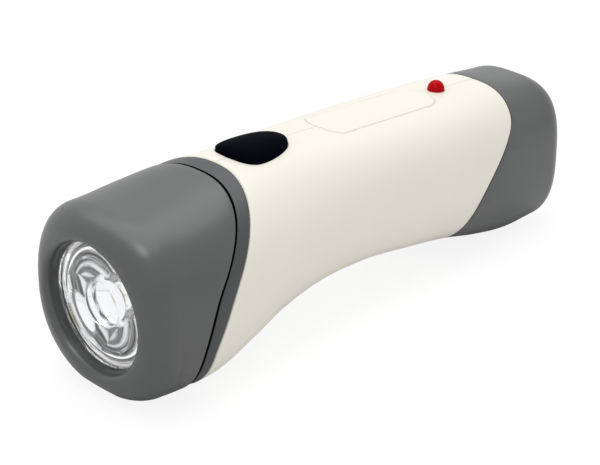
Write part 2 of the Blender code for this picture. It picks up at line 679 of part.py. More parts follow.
def make_light(material, board_top):
    """Red 5 mm charge light with its two leads."""
    under = roof(0, LIGHT_Y, CORE_INSET) - FIT_GAP
    base = under - LIGHT["flange_height"]
    radius = LIGHT["radius"]
    flange = radius + LIGHT["flange"]
    shoulder = roof(0, LIGHT_Y, 0) + LIGHT["shoulder"]
    profile = [(0, base), (flange, base), (flange, under), (radius, under)]
    profile += [(radius * math.cos(k * math.pi / 10), shoulder + radius * math.sin(k * math.pi / 10))
                for k in range(5)]
    profile.append((0, shoulder + radius))
    light = turned_object("indicator_led", profile, (0, LIGHT_Y, 0), (0, 0, 1), material,
                          steps=SMALL_TURN_STEPS)
    for side, word in ((1, "rear"), (-1, "front")):
        y = LIGHT_Y + side * LIGHT["lead_pitch"] / 2
        lead = LIGHT["lead"] / 2
        combine(light, box_object("lead_" + word, (-lead, y - lead, board_top + FIT_GAP),
                                  (lead, y + lead, base + LIGHT["flange_height"] / 2),
                                  cutter=True), "UNION")


# Cells and what holds them

FRONT_UPPER_BOSS_Y = BUTTON_END + BUTTON["flange"] + BOSS["radius"] + BOSS["margin"]
FRONT_UPPER_BOSS_Z = roof(0, FRONT_UPPER_BOSS_Y, WALL) - BOSS["radius"] - BOSS["margin"]
CELLS_Y = FRONT_UPPER_BOSS_Y + BOSS["radius"] + BOSS["margin"]
CELLS_END = CELLS_Y + CELL["length"]
CELL_X = CELL["radius"] + FIT_GAP / 2
CELL_LOW_Z = max(floor(CELL_X + share * CELL["radius"], CELLS_Y + k * CELL["length"] / 8, WALL)
                 + CELL["radius"] * math.sqrt(1 - share * share)
                 for share in (0.0, 0.3, 0.6) for k in range(9)) + 2 * FIT_GAP
CELL_HIGH_Z = CELL_LOW_Z + math.sqrt((2 * CELL["radius"] + FIT_GAP) ** 2 - CELL_X ** 2)
CELL_PLACES = [(-CELL_X, CELL_LOW_Z), (CELL_X, CELL_LOW_Z), (0, CELL_HIGH_Z)]
TAB_REACH = CELL["nub"] + 2 * FIT_GAP + TAB["thickness"]

REAR_LOW_BOSS_Y = CELLS_END + TAB_REACH + BOSS["radius"] + BOSS["margin"]
REAR_LOW_BOSS_Z = CELL_LOW_Z + BOSS["margin"]
CHARGER_LOW = REAR_LOW_BOSS_Z + BOSS["radius"] + FIT_GAP
CHARGER_TOP = CHARGER_LOW + CHARGER_BOARD["thickness"]
CHARGER_END = SLEEVE_REAR + OVERRUN / 2
CHARGER_Y = CELLS_END + TAB_REACH + BOSS["margin"]
REAR_HIGH_BOSS_Y = LIGHT_Y + LIGHT["radius"] + LIGHT["flange"] + BOSS["radius"] + BOSS["margin"]
REAR_HIGH_BOSS_Z = roof(0, REAR_HIGH_BOSS_Y, CORE_INSET) - BOSS["radius"] - BOSS["margin"]
FRONT_LOW_BOSS_Y = FRONT_STEP_Y + BOSS["radius"] + BOSS["margin"]
FRONT_LOW_BOSS_Z = floor(0, FRONT_LOW_BOSS_Y, 0) + WALL + BOSS["radius"] + 3 * BOSS["margin"]
SCREW_PLACES = [
    (FRONT_LOW_BOSS_Y, FRONT_LOW_BOSS_Z),
    (FRONT_UPPER_BOSS_Y, FRONT_UPPER_BOSS_Z),
    (REAR_LOW_BOSS_Y, REAR_LOW_BOSS_Z),
    (REAR_HIGH_BOSS_Y, REAR_HIGH_BOSS_Z),
]


def make_cells(materials):
    """Three cells stacked in a triangle, and the tabs that join them in a row."""
    radius = CELL["radius"]
    for number, (x, z) in enumerate(CELL_PLACES, start=1):
        flip = number == 2
        profile = [
            (0, CELLS_Y), (radius - CELL["edge"], CELLS_Y), (radius, CELLS_Y + CELL["edge"]),
            (radius, CELLS_END - 3 * CELL["crimp_width"]),
            (radius - CELL["crimp"], CELLS_END - 2 * CELL["crimp_width"]),
            (radius, CELLS_END - CELL["crimp_width"]),
            (radius - CELL["edge"], CELLS_END), (CELL["nub_radius"], CELLS_END),
            (CELL["nub_radius"], CELLS_END + CELL["nub"]), (0, CELLS_END + CELL["nub"]),
        ]
        if flip:
            profile = [(r, CELLS_Y + CELLS_END - t) for r, t in reversed(profile)]
        turned_object("battery_cell_" + str(number), profile, (x, 0, z), (0, 1, 0),
                      materials["cell"], steps=SMALL_TURN_STEPS)
    half = TAB["width"] / 2
    reach = TAB["overhang"]
    front = CELLS_Y - CELL["nub"] - FIT_GAP
    rear = CELLS_END + CELL["nub"] + FIT_GAP
    box_object("cell_tab_front",
               (-CELL_X - reach, front - TAB["thickness"], CELL_LOW_Z - half),
               (CELL_X + reach, front, CELL_LOW_Z + half), materials["nickel"])
    rise = Vector((-CELL_X, 0, CELL_HIGH_Z - CELL_LOW_Z)).normalized()
    across = Vector((rise.z, 0, -rise.x)) * half
    start = Vector((CELL_X, rear, CELL_LOW_Z)) - rise * reach
    stop = Vector((0, rear, CELL_HIGH_Z)) + rise * reach
    bm = bmesh.new()
    add_prism(bm, [start - across, start + across, stop + across, stop - across],
              Vector((0, TAB["thickness"], 0)))
    add_object("cell_tab_rear", bm, materials["nickel"])


def rib_places():
    """Where the two cradle ribs stand under and over the cells."""
    return (CELLS_Y + RIB_INSET, CELLS_END - RIB_INSET - RIB_THICKNESS)


def make_core():
    """Body solid just inside the skin, which trims what is moulded onto the shells."""
    thin = SLEEVE_INSET + SLEEVE_WALL / 2
    wide = WALL / 2
    front = FRONT_STEP_Y + EDGE_ROUND
    rear = REAR_STEP_Y - EDGE_ROUND
    rows = [ring(level(SLEEVE_FRONT + k * (front - SLEEVE_FRONT) / 3), thin) for k in range(4)]
    rows += [ring(level(front + k * (rear - front) / 6), wide) for k in range(7)]
    rows += [ring(level(rear + k * (SLEEVE_REAR - rear) / 3), thin) for k in range(4)]
    bm = bmesh.new()
    loft(bm, rows, closed_rows=True, wrap=False)
    close_ends(bm)
    return add_object("core_guide", bm, cutter=True)


def make_shell_half(word, side, material, core, shared_cutters):
    """One clamshell half: white skin, sleeves at both ends, bosses, ribs and shelves."""
    front = split_line(COLLAR_SPLIT_SHARES, FIT_GAP)
    front_round = split_line(COLLAR_SPLIT_SHARES, FIT_GAP + EDGE_ROUND)
    rear = split_line(TAIL_SPLIT_SHARES, -FIT_GAP)
    rear_round = split_line(TAIL_SPLIT_SHARES, -FIT_GAP - EDGE_ROUND)
    nose = level(SLEEVE_FRONT)
    tail = level(SLEEVE_REAR)
    rib = CORE_INSET + CRADLE["rib_height"]
    plan = [(nose, SLEEVE_INSET), (between(nose, front, 0.5), SLEEVE_INSET),
            (front, SLEEVE_INSET), (front, EDGE_ROUND), (front_round, 0)]
    plan += [(between(front_round, rear_round, k / 9), 0) for k in range(1, 9)]
    plan += [(rear_round, 0), (rear, EDGE_ROUND), (rear, SLEEVE_INSET),
             (between(rear, tail, 0.5), SLEEVE_INSET), (tail, SLEEVE_INSET),
             (tail, CORE_INSET), (level(REAR_STEP_Y), CORE_INSET), (level(REAR_STEP_Y), WALL)]
    plan += [(between(level(REAR_STEP_Y), level(FRONT_STEP_Y), k / 5), WALL)
             for k in range(1, 5)]
    plan += [(level(FRONT_STEP_Y), WALL), (level(FRONT_STEP_Y), CORE_INSET)]
    for start in (CRADLE_END + FIT_GAP, CRADLE_Y - FIT_GAP - CRADLE["rib"]):
        plan += [(level(start + CRADLE["rib"]), CORE_INSET), (level(start + CRADLE["rib"]), rib),
                 (level(start), rib), (level(start), CORE_INSET)]
    plan.append((nose, CORE_INSET))
    bm = bmesh.new()
    loft(bm, [half_ring(edge, inset, side) for edge, inset in plan], closed_rows=False, wrap=True)
    close_ends(bm)
    half = add_object("housing_" + word, bm, material)

    near = side * SEAM_GAP
    far = side * HEAD_WIDTH / 2
    low_x, high_x = min(near, far), max(near, far)
    bm = bmesh.new()
    for y, z in SCREW_PLACES:
        add_turned(bm, rod(abs(near), abs(far), BOSS["radius"]), (0, y, z), (side, 0, 0),
                   SMALL_TURN_STEPS)
    for y in rib_places():
        add_box(bm, (low_x, y, 0), (high_x, y + RIB_THICKNESS, CELL_HIGH_Z))
    shelf_x = SWITCH_BOARD["width"] / 2 - SHELF["overlap"]
    for y in (BUTTON_MIDDLE - SWITCH_BOARD["front"], BUTTON_MIDDLE + SWITCH_BOARD["rear"]
              - SHELF["length"]):
        add_box(bm, (min(side * shelf_x, far), y, SWITCH_BOARD_LOW - FIT_GAP - SHELF["thickness"]),
                (max(side * shelf_x, far), y + SHELF["length"], SWITCH_BOARD_LOW - FIT_GAP))
    shelf_x = CHARGER_BOARD["width"] / 2 - SHELF["overlap"]
    shelf_y = SLEEVE_REAR - SHELF["length"]
    add_box(bm, (min(side * shelf_x, far), shelf_y, CHARGER_LOW - FIT_GAP - SHELF["thickness"]),
            (max(side * shelf_x, far), SLEEVE_REAR - EDGE_ROUND, CHARGER_LOW - FIT_GAP))
    features = add_object("features_" + word, bm, cutter=True)
    combine(features, core, "INTERSECT", overlaps=True)
    for cutter in shared_cutters["cells"]:
        combine(features, cutter, "DIFFERENCE")
    combine(half, features, "UNION")

    bm = bmesh.new()
    for y, z in SCREW_PLACES:
        hole = SCREW["shaft"] + FIT_GAP
        if side > 0:
            profile = rod(0, SCREW["reach"] + 2 * FIT_GAP, hole)
        else:
            profile = [(0, 0), (hole, 0), (hole, SCREW["seat"]), (BOSS["well"], SCREW["seat"]),
                       (BOSS["well"], HEAD_WIDTH), (0, HEAD_WIDTH)]
        add_turned(bm, profile, (0, y, z), (side, 0, 0), SMALL_TURN_STEPS)
    combine(half, add_object("screw_holes_" + word, bm, cutter=True), "DIFFERENCE")
    for cutter in shared_cutters["top"]:
        combine(half, cutter, "DIFFERENCE")


def make_housing(material):
    """Both clamshell halves, cut by the same openings."""
    core = make_core()
    cells = []
    for number, (x, z) in enumerate(CELL_PLACES, start=1):
        cells.append(turned_object("cell_channel_" + str(number),
                                   rod(CELLS_Y, CELLS_END, CELL["radius"] + FIT_GAP),
                                   (x, 0, z), (0, 1, 0), steps=SMALL_TURN_STEPS, cutter=True))
    bm = bmesh.new()
    add_prism(bm, [Vector((x, CELLS_Y, z)) for x, z in CELL_PLACES],
              Vector((0, CELL["length"], 0)))
    cells.append(add_object("cell_channel_middle", bm, cutter=True))
    bm = bmesh.new()
    add_prism(bm, [Vector((p.x, p.y, FLANGE_TOP)) for p in button_plan(FIT_GAP)],
              Vector((0, 0, BODY_HEIGHT)))
    opening = add_object("button_opening", bm, cutter=True)
    recess = plate_body("plate_recess", FIT_GAP / 2, -OVERRUN, PLATE["thickness"] + FIT_GAP / 2,
                        cutter=True)
    hole_low = roof(0, LIGHT_Y, CORE_INSET) - LIGHT["flange_height"]
    light_hole = turned_object("light_hole", rod(hole_low, BODY_HEIGHT + OVERRUN,
                                                 LIGHT["radius"] + FIT_GAP),
                               (0, LIGHT_Y, 0), (0, 0, 1), steps=SMALL_TURN_STEPS, cutter=True)
    shared = {"cells": cells, "top": [opening, recess, light_hole]}
    make_shell_half("right", 1, material, core, shared)
    make_shell_half("left", -1, material, core, shared)


def make_screws(material):
    """Four screws from the left half into the right half."""
    for number, (y, z) in enumerate(SCREW_PLACES, start=1):
        seat = SCREW["seat"] + FIT_GAP
        top = seat + SCREW["head_height"]
        profile = [(0, -SCREW["reach"]), (SCREW["shaft"], SCREW["shaft"] - SCREW["reach"]),
                   (SCREW["shaft"], seat), (SCREW["head"], seat),
                   (SCREW["head"], top - SCREW["head_round"]),
                   (SCREW["head"] - SCREW["head_round"], top), (0, top)]
        turned_object("housing_screw_" + str(number), profile, (0, y, z), (-1, 0, 0), material,
                      steps=SMALL_TURN_STEPS)


# Charger board in the tail

def make_charger(materials):
    """Charger board with its capacitor, rectifier, smoother and fuse resistor."""
    half = CHARGER_BOARD["width"] / 2
    box_object("charger_board", (-half, CHARGER_Y, CHARGER_LOW), (half, CHARGER_END, CHARGER_TOP),
               materials["board"])
    under = CHARGER_LOW - FIT_GAP
    over = CHARGER_TOP + FIT_GAP
    cap_end = CHARGER_END - DROPPER["edge"]
    cap_length = (cap_end - REAR_LOW_BOSS_Y - BOSS["radius"]) * DROPPER_SHARE
    bm = bmesh.new()
    add_box(bm, (-DROPPER["width"] / 2, cap_end - cap_length, under - DROPPER["height"]),
            (DROPPER["width"] / 2, cap_end, under))
    bmesh.ops.bevel(bm, geom=list(bm.edges), offset=DROPPER["edge"], segments=1, profile=0.5,
                    affect="EDGES", material=-1)
    add_object("dropper_capacitor", bm, materials["capacitor"])
    bridge_y = CHARGER_END - RECTIFIER["length"] - DROPPER["edge"]
    box_object("bridge_rectifier", (-RECTIFIER["width"] / 2, bridge_y, over),
               (RECTIFIER["width"] / 2, bridge_y + RECTIFIER["length"],
                over + RECTIFIER["height"]), materials["black"])
    side = half - SMOOTHER["radius"] - DROPPER["edge"]
    start = CHARGER_END - SMOOTHER["length"] - DROPPER["edge"]
    radius = SMOOTHER["radius"]
    turned_object("smoothing_capacitor", [
        (0, start), (radius, start), (radius, start + SMOOTHER["crimp"] * 3),
        (radius - SMOOTHER["crimp"], start + SMOOTHER["crimp"] * 4),
        (radius, start + SMOOTHER["crimp"] * 5), (radius, start + SMOOTHER["length"]),
        (0, start + SMOOTHER["length"]),
    ], (side, 0, over + radius), (0, 1, 0), materials["black"], steps=SMALL_TURN_STEPS)
    radius = FUSE["radius"]
    low = radius - FUSE["waist"]
    begin = CHARGER_END - FUSE["length"] - DROPPER["edge"]
    turned_object("fuse_resistor", [
        (0, begin), (radius, begin), (radius, begin + radius), (low, begin + 2 * radius),
        (low, begin + FUSE["length"] - 2 * radius), (radius, begin + FUSE["length"] - radius),
        (radius, begin + FUSE["length"]), (0, begin + FUSE["length"]),
    ], (-side, 0, over + radius), (0, 1, 0), materials["resistor"], steps=SMALL_TURN_STEPS)


# Tail cap and folding plug

def make_tail_cap(material):
    """Grey tail with a rounded end, and the bay that the mains plug folds into."""
    front_round = split_line(TAIL_SPLIT_SHARES, EDGE_ROUND)
    shoulder = level(LENGTH - TAIL_ROUND)
    inner_end = LENGTH - END_WALL
    rows = [ring(level(inner_end), TAIL_ROUND + EDGE_ROUND),
            ring(level(inner_end - END_WALL), TAIL_ROUND / 2),
            ring(level(LENGTH - TAIL_ROUND - WALL), WALL)]
    rows += [ring(between(level(LENGTH - TAIL_ROUND - WALL), tail_split, k / 3), WALL)
             for k in range(1, 4)]
    rows += [ring(tail_split, EDGE_ROUND), ring(front_round, 0)]
    rows += [ring(between(front_round, shoulder, k / 4), 0) for k in range(1, 5)]
    for k in range(1, 6):
        turn = k * math.pi / 10
        rows.append(ring(level(LENGTH - TAIL_ROUND * (1 - math.sin(turn))),
                         TAIL_ROUND * (1 - math.cos(turn))))
    bm = bmesh.new()
    loft(bm, rows, closed_rows=True, wrap=False)
    close_ends(bm)
    cap = add_object("tail_cap", bm, material)

    swing = PLUG["swing_gap"]
    wide = BAY["half_width"]
    tip = PLUG_Z + BLADE_TIP
    bay = box_object("plug_bay", (-wide, BAY_Y, PLUG_Z - BAY["drop"]),
                     (wide, inner_end + EDGE_ROUND, tip + 2 * BAY["skin"]), cutter=True)
    combine(cap, bay, "UNION")

    barrel = PLUG["radius"] + swing
    reach = PLUG["half_length"] + swing
    outline = [Vector((-reach, PLUG_Y + OVERRUN + PLUG["setback"], PLUG_Z - barrel))]
    outline += [Vector((-reach, PLUG_Y - barrel * math.sin(k * math.pi / 12),
                        PLUG_Z - barrel * math.cos(k * math.pi / 12))) for k in range(13)]
    outline.append(Vector((-reach, PLUG_Y + OVERRUN + PLUG["setback"], PLUG_Z + barrel)))
    bm = bmesh.new()
    add_prism(bm, outline, Vector((2 * reach, 0, 0)))
    combine(cap, add_object("barrel_window", bm, cutter=True), "DIFFERENCE")
    pin_reach = PLUG["half_length"] + PLUG["trunnion"] + swing
    combine(cap, turned_object("trunnion_bore", rod(-pin_reach, pin_reach,
                                                    PLUG["trunnion_radius"] + swing),
                               (0, PLUG_Y, PLUG_Z), (1, 0, 0), steps=SMALL_TURN_STEPS,
                               cutter=True), "DIFFERENCE")
    slot = BLADE["thickness"] / 2 + BLADE["slot_gap"]
    tab_sweep = math.hypot(BLADE_TAIL, BLADE["tab_width"] / 2) + swing
    window = BLADE["thickness"] / 2 + CONTACT["width"] / 2 + CONTACT["window"] / 2
    for side, word in ((-1, "left"), (1, "right")):
        x = side * BLADE["pitch"] / 2
        combine(cap, box_object("blade_slot_" + word,
                                (x - slot, PLUG_Y - BLADE["width"] / 2 - BLADE["slot_gap"], PLUG_Z),
                                (x + slot, LENGTH + OVERRUN, tip + 2 * BLADE["slot_gap"]),
                                cutter=True), "DIFFERENCE")
        tab_slot = slot - BLADE["seat_gap"]
        combine(cap, turned_object("tab_slot_" + word, rod(-tab_slot, tab_slot, tab_sweep),
                                   (x, PLUG_Y, PLUG_Z), (1, 0, 0), cutter=True), "DIFFERENCE")
        combine(cap, box_object("contact_window_" + word,
                                (x - window, BAY_Y - OVERRUN, PLUG_Z - CONTACT["hump"]),
                                (x + window, PLUG_Y - BLADE_TAIL, PLUG_Z + CONTACT["hump"]),
                                cutter=True), "DIFFERENCE")
    dish_y = LENGTH - DISH["depth"] + DISH["radius"]
    arc = [(DISH["radius"] * math.sin(k * math.pi / 10), -DISH["radius"] * math.cos(k * math.pi / 10))
           for k in range(11)]
    arc[0] = (0, arc[0][1])
    arc[-1] = (0, arc[-1][1])
    combine(cap, turned_object("finger_dish", arc, (0, dish_y, tip - DISH["below_tip"]),
                               (0, 1, 0), cutter=True), "DIFFERENCE")


def make_plug(materials, pivot):
    """Rotor with stub axles, and two blades that stand up in the end face when folded."""
    half = PLUG["half_length"]
    end = half + PLUG["trunnion"]
    stub = PLUG["trunnion_radius"]
    rotor = turned_object("plug_rotor", [
        (0, -end), (stub, -end), (stub, -half), (PLUG["radius"], -half), (PLUG["radius"], half),
        (stub, half), (stub, end), (0, end),
    ], (0, PLUG_Y, PLUG_Z), (1, 0, 0), materials["rotor"], steps=TURN_STEPS, pivot=pivot)
    seat = BLADE["seat_gap"]
    for side, word in ((-1, "left"), (1, "right")):
        x = side * BLADE["pitch"] / 2
        thick = BLADE["thickness"] / 2
        wide = BLADE["width"] / 2
        slot = box_object("blade_seat_" + word,
                          (x - thick - seat, PLUG_Y - wide - seat, PLUG_Z - OVERRUN - PLUG["radius"]),
                          (x + thick + seat, PLUG_Y + wide + seat, PLUG_Z + OVERRUN + PLUG["radius"]),
                          cutter=True, pivot=pivot)
        combine(rotor, slot, "DIFFERENCE")
        tip = PLUG_Z + BLADE_TIP
        tail = PLUG_Z - BLADE_TAIL
        root = PLUG_Z - PLUG["radius"] + seat
        tab = BLADE["tab_width"] / 2
        chamfer = BLADE["tip_chamfer"]
        corners = [(-tab, tail), (tab, tail), (tab, root), (wide, root), (wide, tip - chamfer),
                   (wide - chamfer, tip), (chamfer - wide, tip), (-wide, tip - chamfer),
                   (-wide, root), (-tab, root)]
        bm = bmesh.new()
        add_prism(bm, [Vector((x - thick, PLUG_Y + y, z)) for y, z in corners],
                  Vector((2 * thick, 0, 0)))
        blade = add_object("blade_" + word, bm, materials["brass"], pivot=pivot)
        hole = turned_object("blade_hole_" + word, rod(-OVERRUN, OVERRUN, BLADE["hole"]),
                             (x, PLUG_Y, tip - BLADE["hole_to_tip"]), (1, 0, 0),
                             steps=SMALL_TURN_STEPS, cutter=True, pivot=pivot)
        combine(blade, hole, "DIFFERENCE")


def make_contacts(material):
    """Leaf contacts on the bay's inner face, with a hump toward each blade's tail."""
    back = BAY_Y - FIT_GAP
    peak = PLUG_Y - BLADE_TAIL - CONTACT["lift"]
    thick = CONTACT["thickness"]
    top = PLUG_Z + CONTACT["rise"]
    bottom = PLUG_Z - CONTACT["fall"]
    hump = CONTACT["hump"] - 2 * CONTACT["window"]
    crest = hump / 2
    front = [(back, bottom), (back, PLUG_Z - hump), (peak, PLUG_Z - crest), (peak, PLUG_Z + crest),
             (back, PLUG_Z + hump), (back, top)]
    rear = [(y - thick, z) for y, z in reversed(front)]
    for side, word in ((-1, "left"), (1, "right")):
        x = side * BLADE["pitch"] / 2 - CONTACT["width"] / 2
        bm = bmesh.new()
        add_prism(bm, [Vector((x, y, z)) for y, z in front + rear],
                  Vector((CONTACT["width"], 0, 0)))
        add_object("contact_spring_" + word, bm, material)


def bend(start, end, shares):
    """Points between two ends, at shares of the way along (and across) and of the way up."""
    points = []
    for along, up in shares:
        points.append(Vector((start.x + (end.x - start.x) * along,
                              start.y + (end.y - start.y) * along,
                              start.z + (end.z - start.z) * up)))
    return points


def add_wire(name, route, side, material):
    """One insulated wire along a smooth curve through its route's points."""
    table = [(k, side * p.x, p.y - LENGTH / 2, p.z) for k, p in enumerate(route)]
    places = np.linspace(0, len(route) - 1, WIRE_POINTS)
    points = [[smooth_value(table, column, place) for column in (1, 2, 3)] for place in places]
    curve = bpy.data.curves.new(name, "CURVE")
    curve.dimensions = "3D"
    curve.bevel_depth = WIRE["radius"]
    curve.bevel_resolution = WIRE_ROUND_STEPS
    curve.use_fill_caps = True
    curve.materials.append(material)
    spline = curve.splines.new("POLY")
    spline.points.add(len(points) - 1)
    for target, point in zip(spline.points, points):
        target.co = (*point, 1)
    bpy.context.scene.collection.objects.link(bpy.data.objects.new(name, curve))


def led_route():
    """Out of the spreader, through the cradle and up to the switch board's front edge."""
    hole = Vector((WIRE_HOLE["offset"], SPREADER_Y, MOUTH_HEIGHT - WIRE_HOLE["drop"]))
    clear = Vector((hole.x, CRADLE_END + WIRE["lead_out"], hole.z))
    board = Vector((WIRE["board_inset"], BUTTON_MIDDLE - SWITCH_BOARD["front"] - WIRE["stop"],
                    SWITCH_BOARD_LOW + SWITCH_BOARD["thickness"] / 2))
    return [hole, clear] + bend(clear, board, LED_BEND_SHARES) + [board]


def cell_front_route():
    """From the front of the upper cell down to the switch board's rear edge."""
    cell = Vector((WIRE["cell_offset"], CELLS_Y - WIRE["radius"], CELL_HIGH_Z - WIRE["cell_drop"]))
    board = Vector((WIRE["cell_offset"], BUTTON_MIDDLE + SWITCH_BOARD["rear"] + WIRE["stop"],
                    SWITCH_BOARD_LOW + SWITCH_BOARD["thickness"] / 2))
    return [cell] + bend(cell, board, CELL_BEND_SHARES) + [board]


def cell_rear_route():
    """From under the left cell's nub, below the boss and up to the charger board."""
    beside = CELL["nub_radius"] + WIRE["radius"] + FIT_GAP / 2
    cell = Vector((-CELL_X, CELLS_END + WIRE["stop"], CELL_LOW_Z - beside))
    below = Vector((-CELL_X, REAR_LOW_BOSS_Y, REAR_LOW_BOSS_Z - BOSS["radius"] - WIRE["under"]))
    board = Vector((WIRE["rear_inset"] - CHARGER_BOARD["width"] / 2,
                    REAR_LOW_BOSS_Y + BOSS["radius"] + WIRE["behind"],
                    CHARGER_LOW - WIRE["radius"]))
    return [cell, below] + bend(below, board, REAR_BEND_SHARES) + [board]


def charge_route():
    """From the charger board over the cells to the switch board's rear edge."""
    charger = Vector((WIRE["charge_offset"], CHARGER_Y - WIRE["stop"],
                      CHARGER_LOW + CHARGER_BOARD["thickness"] / 2))
    switch = Vector((WIRE["charge_offset"], BUTTON_MIDDLE + SWITCH_BOARD["rear"] + WIRE["stop"],
                     SWITCH_BOARD_LOW + SWITCH_BOARD["thickness"] / 2))
    over = Vector((WIRE["charge_offset"], switch.y, CELL_HIGH_Z + WIRE["over"]))
    rise = bend(charger, over, CHARGE_RISE_SHARES)
    fall = bend(rise[-1], Vector((switch.x, switch.y, switch.z)), CHARGE_FALL_SHARES)
    return [charger] + rise + fall + [switch]


def mains_route():
    """Up the back of a contact spring and over to the charger board's rear edge."""
    back = BAY_Y - 2 * FIT_GAP - CONTACT["thickness"] - WIRE["radius"]
    top = PLUG_Z + CONTACT["rise"]
    low = Vector((BLADE["pitch"] / 2, back, top - WIRE["contact_run"]))
    high = Vector((low.x, back, top))
    board = Vector((low.x + WIRE["contact_spread"], CHARGER_END + WIRE["stop"],
                    CHARGER_LOW + CHARGER_BOARD["thickness"] / 2))
    return [low, high] + bend(high, board, MAINS_BEND_SHARES) + [board]


def make_wires(materials):
    """Wires from LED to switch, cells to both boards, board to board, and plug to charger."""
    add_wire("led_wire_right", led_route(), 1, materials["red_wire"])
    add_wire("led_wire_left", led_route(), -1, materials["black_wire"])
    add_wire("cell_wire_front", cell_front_route(), 1, materials["red_wire"])
    add_wire("cell_wire_rear", cell_rear_route(), 1, materials["black_wire"])
    add_wire("charge_wire_right", charge_route(), 1, materials["red_wire"])
    add_wire("charge_wire_left", charge_route(), -1, materials["black_wire"])
    add_wire("mains_wire_right", mains_route(), 1, materials["black_wire"])
    add_wire("mains_wire_left", mains_route(), -1, materials["black_wire"])


def make_materials():
    """Colours and finishes by use."""
    return {
        "grey": new_material("grey_plastic", (0.09, 0.094, 0.093), 0.5),
        "charcoal": new_material("charcoal_plastic", (0.022, 0.023, 0.025), 0.5),
        "white": new_material("cream_plastic", (0.80, 0.78, 0.68), 0.42),
        "black": new_material("black_plastic", (0.006, 0.006, 0.009), 0.35),
        "red": new_material("red_lens", (0.45, 0.005, 0.008), 0.12),
        "clear": new_material("clear_acrylic", (0.95, 0.97, 0.98), 0.03, transmission=1.0),
        "rubber": new_material("gasket_rubber", (0.62, 0.62, 0.60), 0.6),
        "chrome": new_material("chrome_plating", (0.90, 0.90, 0.92), 0.08, metallic=1.0),
        "white_board": new_material("white_board", (0.78, 0.78, 0.76), 0.4),
        "white_inner": new_material("natural_plastic", (0.72, 0.72, 0.70), 0.5),
        "phosphor": new_material("phosphor", (0.85, 0.72, 0.15), 0.4),
        "board": new_material("circuit_board", (0.05, 0.16, 0.06), 0.5),
        "aluminium": new_material("aluminium", (0.75, 0.76, 0.78), 0.35, metallic=1.0),
        "cell": new_material("cell_sleeve", (0.05, 0.22, 0.12), 0.4),
        "nickel": new_material("nickel_strip", (0.68, 0.66, 0.62), 0.3, metallic=1.0),
        "steel": new_material("zinc_steel", (0.55, 0.55, 0.53), 0.4, metallic=1.0),
        "brass": new_material("plated_brass", (0.78, 0.70, 0.50), 0.3, metallic=1.0),
        "rotor": new_material("dark_plastic", (0.03, 0.03, 0.032), 0.45),
        "capacitor": new_material("film_capacitor", (0.45, 0.30, 0.05), 0.4),
        "resistor": new_material("resistor_body", (0.35, 0.50, 0.55), 0.5),
        "red_wire": new_material("red_insulation", (0.50, 0.02, 0.02), 0.45),
        "black_wire": new_material("black_insulation", (0.02, 0.02, 0.02), 0.45),
    }


def clear_scene():
    """Remove whatever the start-up file holds."""
    for old in list(bpy.data.objects):
        bpy.data.objects.remove(old, do_unlink=True)


def main():
    """Build every piece."""
    clear_scene()
    materials = make_materials()
    button_axis = add_pivot("button_axis", 0, BUTTON_MIDDLE, FLANGE_LOW)
    plug_axis = add_pivot("plug_axis", 0, PLUG_Y, PLUG_Z)
    make_bezel(materials["grey"])
    make_collar(materials["charcoal"])
    make_optics(materials)
    make_housing(materials["white"])
    plate_body("nameplate", -FIT_GAP / 2, -PLATE["rise"], PLATE["thickness"] - FIT_GAP / 2,
               materials["white"])
    make_button(materials["black"], button_axis)
    make_switch(materials, button_axis)
    make_cells(materials)
    make_charger(materials)
    make_light(materials["red"], CHARGER_TOP)
    make_screws(materials["steel"])
    make_tail_cap(materials["grey"])
    make_plug(materials, plug_axis)
    make_contacts(materials["brass"])
    make_wires(materials)


main()
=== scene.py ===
# Rechargeable flashlight: the looks of every piece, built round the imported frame
import math
import bmesh
import bpy
import numpy as np
from mathutils import Matrix, Vector


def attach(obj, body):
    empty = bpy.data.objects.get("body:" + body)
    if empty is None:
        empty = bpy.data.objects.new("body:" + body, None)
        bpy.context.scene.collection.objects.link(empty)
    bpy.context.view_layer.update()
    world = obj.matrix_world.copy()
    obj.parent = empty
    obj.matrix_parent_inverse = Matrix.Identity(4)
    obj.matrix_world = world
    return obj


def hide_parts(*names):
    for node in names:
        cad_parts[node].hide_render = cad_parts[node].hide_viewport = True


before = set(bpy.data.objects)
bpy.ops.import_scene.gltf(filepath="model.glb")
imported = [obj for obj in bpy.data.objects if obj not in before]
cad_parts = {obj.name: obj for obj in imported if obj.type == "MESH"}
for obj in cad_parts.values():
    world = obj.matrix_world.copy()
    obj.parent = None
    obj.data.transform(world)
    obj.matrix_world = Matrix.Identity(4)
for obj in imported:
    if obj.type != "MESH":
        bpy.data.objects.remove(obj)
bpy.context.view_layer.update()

mm = 0.001
mergeWithin = 0.001 * mm  # points nearer than this are one point
touchWithin = 0.01 * mm  # points nearer than this to a plane lie on it
print("frame loaded:", len(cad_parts), "nodes")

